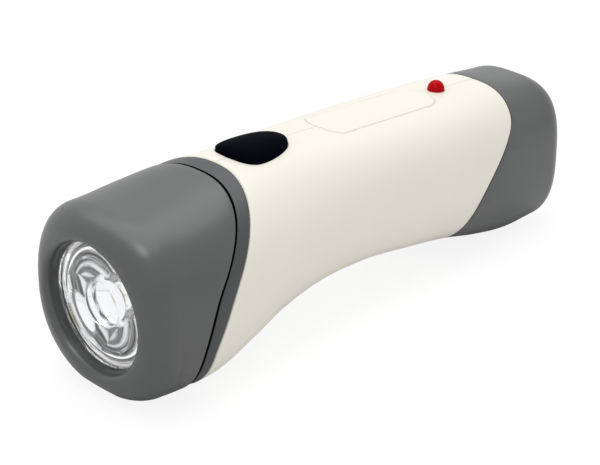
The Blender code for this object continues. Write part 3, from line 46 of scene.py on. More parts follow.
# The body's form, counted from the front face; y is shifted by half the length at the end
form = dict(
    length=170 * mm, width=52.8 * mm, height=53.2 * mm, wall=2 * mm, edge=0.4 * mm,
    gap=0.3 * mm, shadowGap=0.9 * mm, ringPoints=144, halfPoints=76, edgeSteps=4, settleRounds=6,
    # place, half width, top and bottom, as shares, then the squareness above and below
    sections=[(0.000, 0.460, 0.957, -0.010, 3.3, 2.2), (0.071, 0.484, 0.953, -0.010, 2.95, 2.5),
              (0.141, 0.500, 0.963, 0.014, 2.8, 2.7), (0.224, 0.475, 0.990, 0.070, 2.5, 2.5),
              (0.306, 0.436, 1.000, 0.124, 2.2, 2.2), (0.400, 0.410, 0.990, 0.190, 2.3, 2.3),
              (0.506, 0.4015, 0.966, 0.214, 2.65, 2.65), (0.612, 0.4005, 0.942, 0.177, 2.9, 2.9),
              (0.706, 0.396, 0.923, 0.124, 3.0, 2.9), (0.800, 0.3855, 0.908, 0.040, 2.95, 2.8),
              (0.882, 0.375, 0.888, -0.010, 2.75, 2.75), (0.941, 0.3645, 0.864, -0.010, 2.85, 2.75),
              (1.000, 0.352, 0.840, -0.010, 3.2, 2.8)],
    # wavy split lines in the side view: height share, place share
    noseSplit=[(0.00, 0.092), (0.15, 0.092), (0.30, 0.096), (0.45, 0.109), (0.60, 0.127),
               (0.75, 0.160), (0.90, 0.200), (1.00, 0.226), (1.06, 0.242)],
    collarSplit=[(0.00, 0.114), (0.15, 0.115), (0.30, 0.120), (0.45, 0.139), (0.60, 0.162),
                 (0.75, 0.194), (0.90, 0.231), (1.00, 0.259), (1.06, 0.276)],
    tailSplit=[(0.00, 0.706), (0.11, 0.707), (0.22, 0.724), (0.37, 0.754), (0.52, 0.793),
               (0.66, 0.829), (0.75, 0.851), (0.83, 0.860), (0.92, 0.868), (1.00, 0.874)],
)


def curveValue(table, column, places):
    # a smooth curve through the rows of a table
    rows = np.array(table, float)
    knots, values = rows[:, 0], rows[:, column]
    places = np.clip(places, knots[0], knots[-1])
    slopes = np.gradient(values, knots)
    k = np.clip(np.searchsorted(knots, places, side="right") - 1, 0, len(knots) - 2)
    span = knots[k + 1] - knots[k]
    t = (places - knots[k]) / span
    low = values[k] + t * t * (3 - 2 * t) * (values[k + 1] - values[k])
    return low + span * (t * (1 - t) ** 2 * slopes[k] - t * t * (1 - t) * slopes[k + 1])


def section(y):
    place = y / form["length"]
    scales = (form["width"], form["height"], form["height"], 1, 1)
    return [curveValue(form["sections"], i + 1, place) * scale for i, scale in enumerate(scales)]


# An edge is a function that gives the place along the body at a height
def splitEdge(name, shift=0.0):
    return lambda z: curveValue(form[name], 1, z / form["height"]) * form["length"] + shift


def flatEdge(y):
    return lambda z: y + z * 0


def blendEdge(front, back, share):
    return lambda z: (1 - share) * front(z) + share * back(z)


def arcSteps(count, sweep=math.pi / 2):
    # cosine and sine at even steps of a quarter turn, or of another sweep
    return [(math.cos(sweep * k / count), math.sin(sweep * k / count)) for k in range(count + 1)]


def skinRing(edge, inset, angles):
    # one ring of the skin, whose place depends on its height and its height on its place
    cosines, sines = np.cos(angles), np.sin(angles)
    y = edge(np.full(len(angles), form["height"] / 2))
    for _ in range(form["settleRounds"]):
        half, top, bottom, above, below = section(y)
        power = 2 / np.where(sines > 0, above, below)
        x = (half - inset) * np.sign(cosines) * np.abs(cosines) ** power
        reach = (top - bottom) / 2 - inset
        z = (top + bottom) / 2 + reach * np.sign(sines) * np.abs(sines) ** power
        y = edge(z)
    return np.stack([x, y, np.maximum(z, inset)], 1)


ringAngles = (np.arange(form["ringPoints"]) + 0.5) * math.tau / form["ringPoints"]
halfAngles = math.pi / 2 - np.linspace(0, math.pi, form["halfPoints"] + 1)


def fullRing(edge, inset):
    return skinRing(edge, inset, ringAngles)


def halfRing(edge, inset, side, seam):
    points = skinRing(edge, inset, halfAngles)
    points[:, 0] = side * np.maximum(points[:, 0], seam)
    return points


def roofHeight(x, y, inset=0.0):
    # height of the body's top over the point (x, y)
    half, top, bottom, squareness, _ = section(np.array(y, float))
    share = np.minimum(np.abs(x) / (half - inset), 1.0)
    reach = (top - bottom) / 2 - inset
    return float((top + bottom) / 2 + reach * (1 - share ** squareness) ** (1 / squareness))


# Mesh helpers
def extrudeRows(bm, rows, closedRows, wrap=False):
    # draws the first row as edges and extrudes them from row to row
    first = [bm.verts.new(point) for point in rows[0]]
    pairs = list(zip(first, first[1:])) + ([(first[-1], first[0])] if closedRows else [])
    edges = [bm.edges.new(pair) for pair in pairs]
    run = first
    for row in list(rows[1:]) + (list(rows[:1]) if wrap else []):
        made = bmesh.ops.extrude_edge_only(bm, edges=edges)["geom"]
        fresh = {item for item in made if isinstance(item, bmesh.types.BMVert)}
        twins = [next(edge.other_vert(vert) for edge in vert.link_edges
                      if edge.other_vert(vert) in fresh) for vert in run]
        for twin, point in zip(twins, row):
            twin.co = point
        edges = [item for item in made if isinstance(item, bmesh.types.BMEdge)
                 and fresh.issuperset(item.verts)]
        run = twins
    if wrap:
        bmesh.ops.remove_doubles(bm, verts=first + run, dist=mergeWithin)


def closeEnds(bm):
    rim = [edge for edge in bm.edges if edge.is_boundary]
    bmesh.ops.holes_fill(bm, edges=rim, sides=0)


def turn(bm, profile, centre, axis, steps, ringProfile=False):
    # spins a profile of (radius, place along the axis) points
    along = Vector(axis)
    out = along.orthogonal().normalized()
    verts = [bm.verts.new(Vector(centre) + out * r + along * t) for r, t in profile]
    pairs = list(zip(verts, verts[1:])) + ([(verts[-1], verts[0])] if ringProfile else [])
    edges = [bm.edges.new(pair) for pair in pairs]
    bmesh.ops.spin(bm, geom=verts + edges, cent=centre, axis=axis, angle=math.tau,
                   steps=steps, use_merge=True)
    bmesh.ops.remove_doubles(bm, verts=bm.verts, dist=mergeWithin)


def pushOutline(bm, outline, depth):
    face = bm.faces.new([bm.verts.new(point) for point in outline])
    made = bmesh.ops.extrude_face_region(bm, geom=[face])["geom"]
    moved = [item for item in made if isinstance(item, bmesh.types.BMVert)]
    bmesh.ops.translate(bm, vec=depth, verts=moved)


def addBox(bm, low, high):
    size, middle = Vector(high) - Vector(low), (Vector(high) + Vector(low)) / 2
    bmesh.ops.create_cube(bm, size=1, matrix=Matrix.Translation(middle)
                          @ Matrix.Diagonal((*size, 1)))


def bevelEdges(bm, edges, width, clamp=False):
    bmesh.ops.bevel(bm, geom=edges, offset=width, segments=2, profile=0.5, affect="EDGES",
                    material=-1, clamp_overlap=clamp)


def roundCorner(points, radius, steps, share=0.45):
    # swaps each inner corner of an open (radius, place) profile for a small round, which
    # takes at most that share of the sides beside it
    rounded = [Vector(points[0])]
    for before, corner, after in zip(points, points[1:], points[2:]):
        before, corner, after = Vector(before), Vector(corner), Vector(after)
        into, away = (before - corner), (after - corner)
        reach = min(radius, into.length * share, away.length * share)
        start = corner + into.normalized() * reach
        end = corner + away.normalized() * reach
        for k in range(steps + 1):
            t = k / steps
            rounded.append(start * (1 - t) ** 2 + corner * 2 * t * (1 - t) + end * t * t)
    return rounded + [Vector(points[-1])]


def rodProfile(start, end, radius):
    return [(0, start), (radius, start), (radius, end), (0, end)]


def addObject(name, data):
    item = bpy.data.objects.new(name, data)
    bpy.context.scene.collection.objects.link(item)
    return item


def makeMesh(name, bm, shift=True):
    if shift:
        bmesh.ops.translate(bm, vec=(0, -form["length"] / 2, 0), verts=bm.verts)
    bmesh.ops.recalc_face_normals(bm, faces=bm.faces)
    mesh = bpy.data.meshes.new(name)
    bm.to_mesh(mesh)
    bm.free()
    return addObject(name, mesh)


def rowMesh(name, rows, wrap=False):
    # skin through closed rows of points, led back to the first row or capped
    bm = bmesh.new()
    extrudeRows(bm, rows, closedRows=True, wrap=wrap)
    if not wrap:
        closeEnds(bm)
    return makeMesh(name, bm)


def turnMesh(name, profile, centre, axis, steps, ringProfile=False):
    bm = bmesh.new()
    turn(bm, profile, centre, axis, steps, ringProfile)
    return makeMesh(name, bm)


def outlineMesh(name, outline, depth):
    bm = bmesh.new()
    pushOutline(bm, outline, depth)
    return makeMesh(name, bm)


def boxMesh(name, low, high):
    bm = bmesh.new()
    addBox(bm, low, high)
    return makeMesh(name, bm)


shapingTries = 6
slitWithin = 0.0001 * mm  # the solver leaves slits finer than this


def isClosed(mesh):
    bm = bmesh.new()
    bm.from_mesh(mesh)
    bmesh.ops.remove_doubles(bm, verts=bm.verts, dist=slitWithin)
    closed = all(len(edge.link_faces) in (0, 2) for edge in bm.edges)
    bm.free()
    return closed


def reshape(piece, steps):
    # runs the Boolean steps, keeps the result as the mesh and throws the tools away
    for tool, operation in steps:
        modifier = piece.modifiers.new(tool.name, "BOOLEAN")
        modifier.operation = operation
        modifier.solver = "EXACT"
        modifier.object = tool
    for _ in range(shapingTries):
        # the solver now and then loses a wall, so an open result is worked out again
        piece.update_tag()
        graph = bpy.context.evaluated_depsgraph_get()
        shaped = bpy.data.meshes.new_from_object(piece.evaluated_get(graph))
        if isClosed(shaped):
            break
        print("open result:", piece.name)
    piece.modifiers.clear()
    piece.data = shaped
    for tool, _ in steps:
        bpy.data.objects.remove(tool)
    return piece


def finishPiece(piece, material, body, slot, *nodes, angle=34):
    piece.data.materials.clear()
    piece.data.materials.append(material)
    piece.data.shade_smooth()
    piece.data.set_sharp_from_angle(angle=math.radians(angle))
    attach(piece, body)
    if nodes:
        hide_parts(*nodes)
    print("piece:", piece.name, len(piece.data.polygons), "faces")


def cadCopy(name, node):
    bm = bmesh.new()
    bm.from_mesh(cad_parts[node].data)
    bmesh.ops.remove_doubles(bm, verts=bm.verts, dist=mergeWithin)
    return makeMesh(name, bm, shift=False)


# Camera at the photograph's view; the focal length is in pixels of a 600 x 465 picture
camera = dict(azimuth=45.31, elevation=26.27, distance=538.7 * mm, focalPixels=1917.7,
              imageWidth=600, sensor=36, across=-7.13 * mm, up=-5.26 * mm, aimHeight=24 * mm,
              clipStart=10 * mm)


def makeCamera():
    a, e = math.radians(camera["azimuth"]), math.radians(camera["elevation"])
    back = Vector((math.sin(a) * math.cos(e), -math.cos(a) * math.cos(e), math.sin(e)))
    right = Vector((math.cos(a), math.sin(a), 0))
    up = back.cross(right)
    place = Vector((0, 0, camera["aimHeight"])) + right * camera["across"] + up * camera["up"]
    place += back * camera["distance"]
    lens = bpy.data.cameras.new("camera")
    lens.sensor_width = camera["sensor"]
    lens.lens = camera["focalPixels"] / camera["imageWidth"] * camera["sensor"]
    lens.clip_start = camera["clipStart"]
    eye = addObject("camera", lens)
    eye.matrix_world = Matrix.Translation(place) @ Matrix((right, up, back)).transposed().to_4x4()
    bpy.context.scene.camera = eye


makeCamera()
print("camera set")

# Shader node groups shared by the materials
def newNodes(tree, *kinds):
    return [tree.nodes.new("ShaderNode" + kind) for kind in kinds]


def newGroup(name, inputs):
    # every group puts out a colour, a roughness and a normal
    group = bpy.data.node_groups.new(name, "ShaderNodeTree")
    for label, kind, value in inputs:
        socket = group.interface.new_socket(label, in_out="INPUT", socket_type="NodeSocket" + kind)
        socket.default_value = value
    for label, kind in (("Colour", "Color"), ("Roughness", "Float"), ("Normal", "Vector")):
        group.interface.new_socket(label, in_out="OUTPUT", socket_type="NodeSocket" + kind)
    return group, group.nodes.new("NodeGroupInput"), group.nodes.new("NodeGroupOutput")


def join(tree, *pairs):
    for source, target in pairs:
        tree.links.new(source, target)


def setSockets(node, values):
    for label, value in values.items():
        node.inputs[label].default_value = value


def operate(tree, operation, second=None, kind="Math"):
    # a math node, with its second number where that is fixed
    [node] = newNodes(tree, kind)
    node.operation = operation
    if second is not None:
        node.inputs[1].default_value = second
    return node


def blankMaterial(name):
    material = bpy.data.materials.new(name)
    material.use_nodes = True
    nodes = material.node_tree.nodes
    return material, material.node_tree, nodes["Principled BSDF"], nodes["Material Output"]


def moulded():
    # moulded plastic: slow change of tone, a fine pebble grain, patches of gloss
    group, into, out = newGroup("moulded", [
        ("Colour", "Color", (0.5, 0.5, 0.5, 1)), ("Tone", "Float", 0.03),
        ("Patch Scale", "Float", 40), ("Grain Scale", "Float", 2500),
        ("Grain Depth", "Float", 0.00001), ("Roughness", "Float", 0.4),
        ("Gloss Change", "Float", 0.05)])
    place, patch, grain, bump = newNodes(group, "TexCoord", "TexNoise", "TexNoise", "Bump")
    setSockets(patch, {"Detail": 4})
    setSockets(grain, {"Detail": 1.5})
    centred, tone = operate(group, "SUBTRACT", 0.5), operate(group, "MULTIPLY")
    lift, gloss = operate(group, "ADD", 1), operate(group, "MULTIPLY_ADD")
    tint = operate(group, "SCALE", kind="VectorMath")
    join(group, (place.outputs["Object"], patch.inputs["Vector"]),
         (place.outputs["Object"], grain.inputs["Vector"]),
         (into.outputs["Patch Scale"], patch.inputs["Scale"]),
         (into.outputs["Grain Scale"], grain.inputs["Scale"]),
         (patch.outputs["Fac"], centred.inputs[0]),
         (centred.outputs[0], tone.inputs[0]), (into.outputs["Tone"], tone.inputs[1]),
         (tone.outputs[0], lift.inputs[0]), (into.outputs["Colour"], tint.inputs[0]),
         (lift.outputs[0], tint.inputs["Scale"]), (tint.outputs[0], out.inputs["Colour"]),
         (centred.outputs[0], gloss.inputs[0]), (into.outputs["Gloss Change"], gloss.inputs[1]),
         (into.outputs["Roughness"], gloss.inputs[2]), (gloss.outputs[0], out.inputs["Roughness"]),
         (grain.outputs["Fac"], bump.inputs["Height"]),
         (into.outputs["Grain Depth"], bump.inputs["Distance"]),
         (bump.outputs["Normal"], out.inputs["Normal"]))
    return group


def streaked():
    # rolled or drawn metal: long fine streaks along one direction
    group, into, out = newGroup("streaked", [
        ("Colour", "Color", (0.7, 0.7, 0.7, 1)), ("Stretch", "Vector", (1, 1, 1)),
        ("Streak Depth", "Float", 0.000004), ("Roughness", "Float", 0.3)])
    place, streak, shade, bump = newNodes(group, "TexCoord", "TexNoise", "MapRange", "Bump")
    setSockets(streak, {"Scale": 900, "Detail": 3})
    setSockets(shade, {"To Min": 0.82, "To Max": 1.08})
    stretch = operate(group, "MULTIPLY", kind="VectorMath")
    tint = operate(group, "SCALE", kind="VectorMath")
    rough = operate(group, "MULTIPLY_ADD", 0.2)
    join(group, (place.outputs["Object"], stretch.inputs[0]),
         (into.outputs["Stretch"], stretch.inputs[1]),
         (stretch.outputs[0], streak.inputs["Vector"]),
         (streak.outputs["Fac"], shade.inputs["Value"]),
         (into.outputs["Colour"], tint.inputs[0]), (shade.outputs[0], tint.inputs["Scale"]),
         (tint.outputs[0], out.inputs["Colour"]), (streak.outputs["Fac"], rough.inputs[0]),
         (into.outputs["Roughness"], rough.inputs[2]), (rough.outputs[0], out.inputs["Roughness"]),
         (streak.outputs["Fac"], bump.inputs["Height"]),
         (into.outputs["Streak Depth"], bump.inputs["Distance"]),
         (bump.outputs["Normal"], out.inputs["Normal"]))
    return group


groups = dict(moulded=moulded(), streaked=streaked())


def newMaterial(name, group, values, metallic, specular):
    material, tree, shader, _ = blankMaterial(name)
    finish = tree.nodes.new("ShaderNodeGroup")
    finish.node_tree = groups[group]
    setSockets(finish, values)
    join(tree, (finish.outputs["Colour"], shader.inputs["Base Color"]),
         (finish.outputs["Roughness"], shader.inputs["Roughness"]),
         (finish.outputs["Normal"], shader.inputs["Normal"]))
    setSockets(shader, {"Metallic": metallic, "Specular IOR Level": specular})
    return material


# name: group, colour, roughness, grain scale or stretch, grain depth in metres, metallic
finishes = dict(
    greyPlastic=("moulded", (0.054, 0.057, 0.0565), 0.34, 2600, 0.000012, 0),
    collarPlastic=("moulded", (0.037, 0.039, 0.042), 0.4, 2600, 0.000012, 0),
    creamPlastic=("moulded", (0.80, 0.775, 0.69), 0.36, 1800, 0.000006, 0),
    blackPlastic=("moulded", (0.0012, 0.0016, 0.004), 0.42, 3000, 0.000005, 0),
    # painted shade: black with no reflection, for the rings that stand in for the shadow in the gaps
    shadeRingBlack=("moulded", (0.002, 0.002, 0.002), 0.8, 3000, 0.00001, 0),
    gasketRubber=("moulded", (0.62, 0.62, 0.60), 0.6, 3000, 0.00001, 0),
    whiteInner=("moulded", (0.78, 0.78, 0.77), 0.5, 2000, 0.000006, 0),
    phosphor=("moulded", (0.80, 0.76, 0.48), 0.4, 6000, 0.000004, 0),
    board=("moulded", (0.05, 0.16, 0.06), 0.45, 4000, 0.000006, 0),
    cellSleeve=("moulded", (0.05, 0.22, 0.12), 0.35, 900, 0.000004, 0),
    filmCapacitor=("moulded", (0.45, 0.30, 0.05), 0.4, 1500, 0.000008, 0),
    resistorBody=("moulded", (0.35, 0.50, 0.55), 0.5, 3000, 0.000006, 0),
    darkPlastic=("moulded", (0.03, 0.03, 0.032), 0.42, 2600, 0.00001, 0),
    redInsulation=("moulded", (0.50, 0.02, 0.02), 0.45, 3000, 0.000004, 0),
    blackInsulation=("moulded", (0.02, 0.02, 0.02), 0.45, 3000, 0.000004, 0),
    mirror=("moulded", (0.98, 0.98, 0.985), 0.06, 900, 0.0, 1),
    aluminium=("streaked", (0.75, 0.76, 0.78), 0.3, (1, 6, 1), 0.000002, 1),
    nickel=("streaked", (0.68, 0.66, 0.62), 0.25, (0.1, 1, 1), 0.000002, 1),
    steel=("streaked", (0.55, 0.55, 0.53), 0.3, (4, 1, 1), 0.000002, 1),
    brass=("streaked", (0.80, 0.74, 0.58), 0.22, (1.5, 1, 0.12), 0.000002, 1),
)
# the painted-shade black of the gap rings reflects nothing
specularLevel = dict(usual=0.5, greyPlastic=0.8, collarPlastic=0.6, blackPlastic=0.004,
                     shadeRingBlack=0)


def makeFinishes():
    made = {}
    for name, (group, colour, roughness, grain, depth, metallic) in finishes.items():
        values = {"Colour": (*colour, 1), "Roughness": roughness}
        if group == "moulded":
            values.update({"Grain Scale": grain, "Grain Depth": depth})
        else:
            values.update({"Stretch": grain, "Streak Depth": depth})
        made[name] = newMaterial(name, group, values, metallic,
                                 specularLevel.get(name, specularLevel["usual"]))
    return made


clearLens = {"Base Color": (0.985, 0.99, 0.995, 1), "Roughness": 0.0, "IOR": 1.49,
             "Transmission Weight": 1}
redDome = {"Base Color": (0.49, 0.0, 0.003, 1), "Roughness": 0.06, "Transmission Weight": 0.1,
           "Specular IOR Level": 0.02}


def makeClear():
    # the lamps' light and soft light pass straight through, so the cup behind is lit
    material, tree, shader, out = blankMaterial("clearAcrylic")
    setSockets(shader, clearLens)
    either = operate(tree, "MAXIMUM")
    passing, mix, path = newNodes(tree, "BsdfTransparent", "MixShader", "LightPath")
    join(tree, (path.outputs["Is Shadow Ray"], either.inputs[0]),
         (path.outputs["Is Diffuse Ray"], either.inputs[1]), (either.outputs[0], mix.inputs[0]),
         (shader.outputs[0], mix.inputs[1]), (passing.outputs[0], mix.inputs[2]),
         (mix.outputs[0], out.inputs["Surface"]))
    return material


def makeRed():
    material, _, shader, _ = blankMaterial("redLens")
    setSockets(shader, redDome)
    return material


look = makeFinishes()
look["clear"] = makeClear()
look["red"] = makeRed()
print("materials made:", len(look))

# Head
nose = dict(depth=9 * mm, mouthRadius=19.2 * mm, throatRadius=17.6 * mm, lipDepth=3 * mm,
            lensRise=0.3 * mm, lensSetback=3.9 * mm, ledge=4.7 * mm, pocketRadius=19.4 * mm,
            pocketEnd=9.6 * mm, sleeveFront=12.2 * mm, filletSteps=22, lipSteps=10, sideRows=14,
            innerRows=4)
mouthHeight = float(section(np.array(0.0))[1]) / 2 + nose["lensRise"]
opticRadius = nose["throatRadius"] - form["gap"]


def mouthRing(radius, y):
    return np.stack([radius * np.cos(ringAngles), np.full(len(ringAngles), y),
                     mouthHeight + radius * np.sin(ringAngles)], 1)


def edgeRows(name, shift, direction, sink=0.0):
    # quarter round from just under the skin out to the skin, away from the split line
    return [(splitEdge(name, shift + direction * form["edge"] * (1 - cosine)),
             sink + form["edge"] * (1 - sine)) for cosine, sine in arcSteps(form["edgeSteps"])]


def makeBezel():
    n = nose
    rear, front = splitEdge("noseSplit", -form["edge"]), flatEdge(n["depth"])
    plan = [(splitEdge("noseSplit"), form["wall"])] + edgeRows("noseSplit", 0, -1)
    plan += [(blendEdge(rear, front, k / n["sideRows"]), 0) for k in range(1, n["sideRows"])]
    rows = [fullRing(edge, inset) for edge, inset in plan]
    square, crest = fullRing(front, 0), mouthRing(n["mouthRadius"], 0)
    for cosine, sine in arcSteps(n["filletSteps"]):
        row = crest + (square - crest) * cosine
        row[:, 1] = n["depth"] * (1 - sine)
        rows.append(row)
    for cosine, sine in arcSteps(n["lipSteps"])[1:]:
        radius = n["mouthRadius"] + (n["throatRadius"] - n["mouthRadius"]) * sine
        rows.append(mouthRing(radius, n["lipDepth"] * (1 - cosine)))
    rows += [mouthRing(n["throatRadius"], n["ledge"]), mouthRing(n["pocketRadius"], n["ledge"]),
             mouthRing(n["pocketRadius"], n["pocketEnd"])]
    inner = flatEdge(n["sleeveFront"] - form["gap"])
    rows += [fullRing(blendEdge(inner, splitEdge("noseSplit"), k / n["innerRows"]), form["wall"])
             for k in range(n["innerRows"])]
    finishPiece(rowMesh("noseBezel", rows, wrap=True), look["greyPlastic"], "body", "grey_plastic",
                "head_bezel", angle=50)


collar = dict(sink=0.4 * mm, rows=6)


def makeCollar():
    gap, sink, count = form["shadowGap"], collar["sink"], collar["rows"]
    front = splitEdge("noseSplit", gap + form["edge"])
    rear = splitEdge("collarSplit", -form["edge"])
    plan = [(splitEdge("noseSplit", gap), form["wall"])] + edgeRows("noseSplit", gap, 1, sink)
    plan += [(blendEdge(front, rear, k / count), sink * (1 - k / count)) for k in range(1, count)]
    plan += edgeRows("collarSplit", 0, -1)[::-1]
    plan += [(splitEdge("collarSplit"), form["wall"]),
             (blendEdge(splitEdge("noseSplit", gap), splitEdge("collarSplit"), 0.5), form["wall"])]
    rows = [fullRing(edge, inset) for edge, inset in plan]
    finishPiece(rowMesh("noseCollar", rows, wrap=True), look["collarPlastic"], "body",
                "charcoal_plastic", "head_collar", angle=50)


# painted shade: black rings set just under the skin in the nose and tail gaps stand in for the shadow
# down there
shadeRing = dict(clear=0.04 * mm, top=0.24 * mm, bottom=1.9 * mm)


def makeShadeRing(name, split, start, end):
    # black ring down in the gap between two shells: painted shade that stands in for the shadow deep
    # in the gap and darkens the gap's line
    front = splitEdge(split, start + shadeRing["clear"])
    rear = splitEdge(split, end - shadeRing["clear"])
    rows = [fullRing(front, shadeRing["bottom"]), fullRing(front, shadeRing["top"]),
            fullRing(rear, shadeRing["top"]), fullRing(rear, shadeRing["bottom"])]
    finishPiece(rowMesh(name, rows, wrap=True), look["shadeRingBlack"], "body", "black_plastic")


optic = dict(flange=1.6 * mm, flangeWidth=1.3 * mm, depth=15.2 * mm, rearRadius=5.4 * mm,
             pocketRadius=6.4 * mm, pocketDepth=7.6 * mm, pocketTaper=0.6 * mm, crown=2 * mm,
             cavityRadius=4.4 * mm, cavityDepth=4.6 * mm, cavityCrown=0.8 * mm, cavityNarrow=0.86,
             flangeY=6.1 * mm, round=0.25 * mm, roundSteps=4, crownRows=10, flankRows=28,
             cavityRows=8, steps=128)
cup = dict(wall=1.2 * mm, rim=1.6 * mm, clearance=0.6 * mm, backing=0.4 * mm, front=8 * mm,
           base=20 * mm, rimRows=8)


def bowlFlank():
    # the paraboloid flank of the optic, from its flange to its rear end
    count = optic["flankRows"]
    start, rear = optic["flangeY"] + optic["flange"], nose["lensSetback"] + optic["depth"]
    return [(opticRadius + (optic["rearRadius"] - opticRadius) * (k / count) ** 2,
             start + (rear - start) * k / count) for k in range(1, count + 1)]


def mouthTurn(name, profile, ringProfile=False):
    # a piece turned about the middle of the light's mouth
    return turnMesh(name, profile, (0, 0, mouthHeight), (0, 1, 0), optic["steps"], ringProfile)


def makeLens():
    o, face = optic, opticRadius
    front, rear = nose["lensSetback"], nose["lensSetback"] + o["depth"]
    floorY, low = front + o["pocketDepth"], o["pocketRadius"] - o["pocketTaper"]
    flangeBack, flangeRadius = o["flangeY"] + o["flange"], face + o["flangeWidth"]
    count = o["crownRows"]
    crown = [(low * k / count, floorY - o["crown"] * (1 - (k / count) ** 2)) for k in range(count)]
    wall = [(low, floorY), (o["pocketRadius"], front), (face, front), (face, o["flangeY"]),
            (flangeRadius, o["flangeY"]), (flangeRadius, flangeBack), (face, flangeBack)]
    flank, cavity = bowlFlank(), [(o["cavityRadius"], rear)]
    for k in range(o["cavityRows"] + 1):
        share = 1 - k / o["cavityRows"]
        cavity.append((o["cavityRadius"] * o["cavityNarrow"] * share,
                       rear - o["cavityDepth"] + o["cavityCrown"] * share ** 2))
    profile = roundCorner(crown[-1:] + wall + flank[:1], o["round"], o["roundSteps"])
    finishPiece(mouthTurn("clearOptic", crown[:-1] + profile[:-1] + flank + cavity),
                look["clear"], "body", "clear_acrylic", "lens", angle=40)


def makeCup():
    c = cup
    inner = [(opticRadius + c["clearance"], c["front"])]
    inner += [(r + c["clearance"], y + form["gap"]) for r, y in bowlFlank()]
    back = [(r + c["wall"], y + c["backing"]) for r, y in inner[c["rimRows"]:-1]]
    rim, end = opticRadius + optic["flangeWidth"], inner[-1][0]
    profile = inner + [(end, c["base"]), (end + c["wall"] + c["backing"], c["base"])]
    profile += back[::-1] + [(rim, c["front"] + c["rim"]), (rim, c["front"])]
    finishPiece(mouthTurn("mirrorCup", profile, ringProfile=True), look["mirror"], "body",
                "chrome_plating", "optic_holder", angle=40)


makeBezel()
makeCollar()
# painted shadow: a black ring down in the gap between bezel and collar
makeShadeRing("noseShadeRing", "noseSplit", 0, form["shadowGap"])
makeLens()
makeCup()
print("head built")

# Top fittings
button = dict(start=47.854 * mm, length=20.2 * mm, width=16.1 * mm, stand=0.9 * mm, dome=1.1 * mm,
              flange=1.2 * mm, flangeTop=49.169 * mm, flangeThickness=1.2 * mm,
              stemRadius=3 * mm, stemLength=2.6 * mm, middleShare=0.42, samples=6,
              outline=[(0.0, 0.0), (0.22, 0.02), (0.375, 0.075), (0.47, 0.17), (0.5, 0.30),
                       (0.49, 0.45), (0.455, 0.60), (0.395, 0.75), (0.30, 0.875), (0.16, 0.965),
                       (0.0, 1.0)],
              crownRows=[(0.995, 0.06), (0.985, 0.14), (0.968, 0.24), (0.945, 0.36), (0.90, 0.52),
                         (0.82, 0.70), (0.70, 0.84), (0.55, 0.93), (0.38, 0.98), (0.2, 1.0)])


def smoothLoop(points, samples):
    loop = []
    count = len(points)
    for i in range(count):
        a, b, c, d = (points[(i + k) % count] for k in (-1, 0, 1, 2))
        for j in range(samples):
            t = j / samples
            loop.append(0.5 * ((2 * b) + (c - a) * t + (2 * a - 5 * b + 4 * c - d) * t * t
                               + (3 * b - a - 3 * c + d) * t ** 3))
    return loop


def buttonPlan(grow=0.0):
    half = [Vector((x * button["width"], button["start"] + y * button["length"], 0))
            for x, y in button["outline"]]
    plan = smoothLoop(half + [Vector((-p.x, p.y, 0)) for p in reversed(half[1:-1])],
                      button["samples"])
    grown = []
    for before, point, after in zip([plan[-1]] + plan[:-1], plan, plan[1:] + [plan[0]]):
        run = (after - before).normalized()
        grown.append(point + Vector((run.y, -run.x, 0)) * grow)
    return grown


def atHeight(points, z):
    return [Vector((p.x, p.y, z)) for p in points]


def overRoof(points, lift):
    return [Vector((p.x, p.y, roofHeight(p.x, p.y) + lift)) for p in points]


def makeButton():
    b = button
    plan, flange = buttonPlan(), buttonPlan(b["flange"])
    middle = Vector((0, b["start"] + b["middleShare"] * b["length"], 0))
    stem = [middle + (p - middle).normalized() * b["stemRadius"] for p in plan]
    flangeLow = b["flangeTop"] - b["flangeThickness"]
    rows = [atHeight(stem, flangeLow - b["stemLength"]), atHeight(stem, flangeLow),
            atHeight(flange, flangeLow), atHeight(flange, b["flangeTop"]),
            atHeight(plan, b["flangeTop"]), overRoof(plan, b["stand"])]
    for shrink, rise in b["crownRows"]:
        rows.append(overRoof([middle.lerp(p, shrink) for p in plan], b["stand"] + b["dome"] * rise))
    finishPiece(rowMesh("pushButton", rows), look["blackPlastic"], "button", "black_plastic",
                "switch_button", angle=50)


plate = dict(width=14.8 * mm, start=81.254 * mm, end=125.817 * mm, frontBow=3.4 * mm,
             rearBow=5.4 * mm, cornerPower=1.5, thickness=0.9 * mm, rise=0.1 * mm,
             groove=0.06 * mm, edge=0.12 * mm, edgeAngle=50, toolRise=3 * mm, bowRows=10,
             sideRows=24, halfColumns=8)


